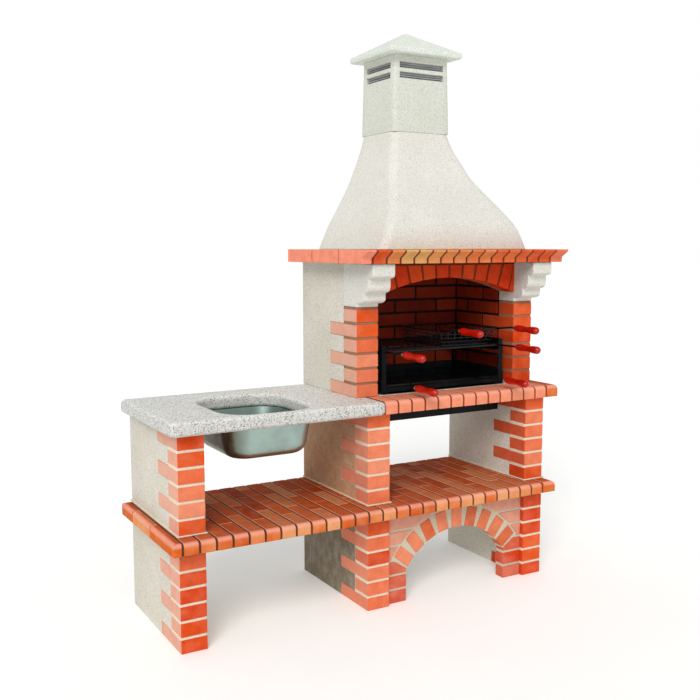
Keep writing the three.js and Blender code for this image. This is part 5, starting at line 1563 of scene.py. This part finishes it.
class BARBECUE_OT_insert(bpy.types.Operator):
    """Build the steel insert, the charcoal tray, the two grills and their grips."""
    bl_idname = "barbecue.insert"
    bl_label = "Insert and grills"

    def execute(self, context):
        s = settings().steel
        for node in ("insert_box", "insert_left_frame", "insert_right_frame"):
            dress(node, "black_steel", s.steel_wear)
        self.tray(s)
        self.rack(s)
        self.basket(s)
        for name in ("tray", "rack", "basket"):
            for side in SIDES:
                grip(f"{name}_{side}_grip", name)
        return {"FINISHED"}

    def tray(self, s):
        """Pan of thin sheet: a floor of strips between the ash slots, four walls and a rolled front edge."""
        (x0, _, bottom), (x1, back, _) = low_high("charcoal_tray")
        front = low_high("insert_left_frame")[0][1] + s.tray_clearance
        top, floor = bottom + s.tray_height, bottom + s.sheet
        cuts = x0 + (x1 - x0) / (s.slots + 1) * np.arange(1, s.slots + 1)
        y0, y1 = front + s.slot_margin, back - s.slot_margin
        strips = box_corners(rows_of([x0, *(cuts + s.slot_width / 2)], y0, bottom),
                             rows_of([*(cuts - s.slot_width / 2), x1], y1, floor))
        near, far = [x0, front, bottom], [x1, back, top]
        solid = [(near, [x1, y0, floor]), ([x0, y1, bottom], [x1, back, floor]),
                 (near, [x1, front + s.sheet, top]), ([x0, back - s.sheet, bottom], far),
                 (near, [x0 + s.sheet, back, top]), ([x1 - s.sheet, front, bottom], far)]
        sheets = np.concatenate([strips] + [box_corners(*ends) for ends in solid])
        piece("tray_pan", blocks(sheets, PLAIN), "black_steel", "charcoal_tray", body="tray", smooth=False,
              worn=s.sheet_wear, segments=1)
        z = top - s.tray_bar / 2
        middle = (x0 + x1) / 2
        roots = [[middle + reach, front, z] for reach in (-s.tray_handle, s.tray_handle)]
        handled("tray", [wires([x0, front, z], [x1, front, z], s.tray_bar, 16)], roots, "black_steel")

    def rack(self, s):
        """Round-rod frame, thin wires from front to back and a cross wire under them."""
        low, high = low_high("charcoal_tray")
        rack_low, rack_high = low_high("grill_rack")
        left, right = low[0] + s.rack_rod, high[0] - s.rack_rod
        z = rack_low[2] + s.rack_rod
        back = rack_high[1] - s.rack_rod
        front = back - s.rack_depth
        corners = [[left, front, z], [right, front, z], [right, back, z], [left, back, z]]
        x = left + (right - left) / (s.rack_wires + 1) * np.arange(1, s.rack_wires + 1)
        middle, under = (front + back) / 2, z - s.cross_drop
        shapes = [closed_loop(corners, s.bend, s.rack_rod, 5, 12),
                  wires(rows_of(x, front, z), rows_of(x, back, z), s.rack_wire),
                  wires([left, middle, under], [right, middle, under], s.cross_wire, 12)]
        handled("rack", shapes, [[x, front + s.bend, z] for x in (left, right)], "wire", "grill_rack")

    def basket(self, s):
        """Small grill with open sides that lean out: loops at five heights, posts and floor wires."""
        low, high = low_high("basket_grill")
        (x0, _, _), (x1, y1, _) = low + s.basket_margin, high - s.basket_margin
        y0 = low_high("grill_rack")[1][1] - s.rack_rod - s.rack_depth
        floor = low[2] + s.loop_wire * 0.81

        def corners(share):
            inset = (1 - share) * s.basket_flare
            near, far = [x0 + inset, y0 + inset], [x1 - inset, y1 - inset]
            x, y = [near[0], far[0], far[0], near[0]], [near[1], near[1], far[1], far[1]]
            return rows_of(x, y, floor + share * s.basket_height)

        wire = s.basket_wire
        shapes = [closed_loop(corners(share), s.basket_bend, radius, 4, 10) for share, radius in (
            (0, s.loop_wire), (1, s.rim_wire), (0.5, wire), (0.25, wire), (0.75, wire))]
        along = np.linspace(0, 1, 9)[:, None]
        base, top = corners(0), corners(1)
        for k in range(4):
            starts, ends = (ring[k] + along * (ring[(k + 1) % 4] - ring[k]) for ring in (base, top))
            shapes.append(wires(starts, ends, wire, 8))
        share = (np.arange(s.basket_wires) + 1)[:, None] / (s.basket_wires + 1)
        fronts, backs = (base[a] + share * (base[b] - base[a]) for a, b in ((0, 1), (3, 2)))
        shapes.append(wires(fronts, backs, wire, 8))
        handled("basket", shapes, top[:2], "wire", "basket_grill")


FLOOR_REACH = 60
FLOOR_DROP = 0.0005
SENSOR_WIDTH = 36


class BARBECUE_OT_stage(bpy.types.Operator):
    """Set up the camera, the even light, one soft light and a pale floor."""
    bl_idname = "barbecue.stage"
    bl_label = "Stage"

    def placed(self, name, data, direction=None):
        """An object in the scene that looks along a direction."""
        made = bpy.data.objects.new(name, data)
        if direction:
            made.rotation_mode = "QUATERNION"
            made.rotation_quaternion = Vector(direction).to_track_quat("-Z", "Y")
        bpy.context.scene.collection.objects.link(made)
        return made

    def execute(self, context):
        s = settings().studio
        lens = bpy.data.cameras.new("camera")
        lens.lens = s.lens
        lens.sensor_width = SENSOR_WIDTH
        level = math.cos(s.pitch)
        view = (math.sin(s.yaw) * level, math.cos(s.yaw) * level, -math.sin(s.pitch))
        camera = self.placed("camera", lens, view)
        camera.location = s.eye
        context.scene.camera = camera
        world = bpy.data.worlds.new("studio")
        world.use_nodes = True
        n = Nodes(world.node_tree)
        seen = n.add("LightPath", {}).outputs["Is Camera Ray"]
        strength = n.span(seen, to_low=s.sky, to_high=s.backdrop)
        n.put(world.node_tree.nodes["Background"].inputs, {"Color": (*WHITE, 1), "Strength": strength})
        context.scene.world = world
        context.scene.view_settings.view_transform = "Standard"
        lamp = bpy.data.lights.new("key", "SUN")
        lamp.energy = s.key
        lamp.angle = s.softness
        self.placed("key", lamp, s.key_direction)
        mesh = bpy.data.meshes.new("studio_floor")
        corners = [(x * FLOOR_REACH, y * FLOOR_REACH, 0) for x, y in ((-1, -1), (1, -1), (1, 1), (-1, 1))]
        mesh.from_pydata(corners, [], [(0, 1, 2, 3)])
        floor = self.placed("studio_floor", mesh)
        floor.location.z = -FLOOR_DROP
        n = Finish("studio_floor")
        pale = settings().colours.floor
        shade = n.mix(n.cloud(1.5), pale, tuple(0.98 * c for c in pale))
        mesh.materials.append(n.done(shade, 1.0, 0.0, Emission_Color=(*WHITE, 1), Emission_Strength=s.glow))
        return {"FINISHED"}


STEPS = (
    BARBECUE_OT_piers, BARBECUE_OT_arch, BARBECUE_OT_shelf, BARBECUE_OT_worktop, BARBECUE_OT_ledge,
    BARBECUE_OT_firebox, BARBECUE_OT_cornice, BARBECUE_OT_chimney, BARBECUE_OT_insert, BARBECUE_OT_stage,
)


class BARBECUE_PT_panel(bpy.types.Panel):
    """The steps and sizes of the barbecue."""
    bl_idname = "BARBECUE_PT_panel"
    bl_label = "Masonry Barbecue"
    bl_space_type = "VIEW_3D"
    bl_region_type = "UI"
    bl_category = "Barbecue"

    def draw(self, context):
        for step in STEPS:
            self.layout.operator(step.bl_idname)
        for name in BarbecueSettings.__annotations__:
            group = getattr(settings(), name)
            box = self.layout.box()
            box.label(text=name.capitalize())
            for key in group.__annotations__:
                box.prop(group, key, text=key.replace("_", " ").capitalize())


GROUPS = (BrickSizes, TileSizes, ArchSizes, StoneSizes, SteelSizes, Colours, StudioSettings, BarbecueSettings)


def register():
    """Registers the classes and hangs the settings on the scene."""
    for item in (*GROUPS, *STEPS, BARBECUE_PT_panel):
        bpy.utils.register_class(item)
    bpy.types.Scene.barbecue = bpy.props.PointerProperty(type=BarbecueSettings)


def unregister():
    """Takes the settings and the classes away again."""
    del bpy.types.Scene.barbecue
    for item in reversed((*GROUPS, *STEPS, BARBECUE_PT_panel)):
        bpy.utils.unregister_class(item)


def main():
    """Runs every step."""
    register()
    for step in STEPS:
        group, name = step.bl_idname.split(".")
        getattr(getattr(bpy.ops, group), name)()


if __name__ == "__main__":
    main()
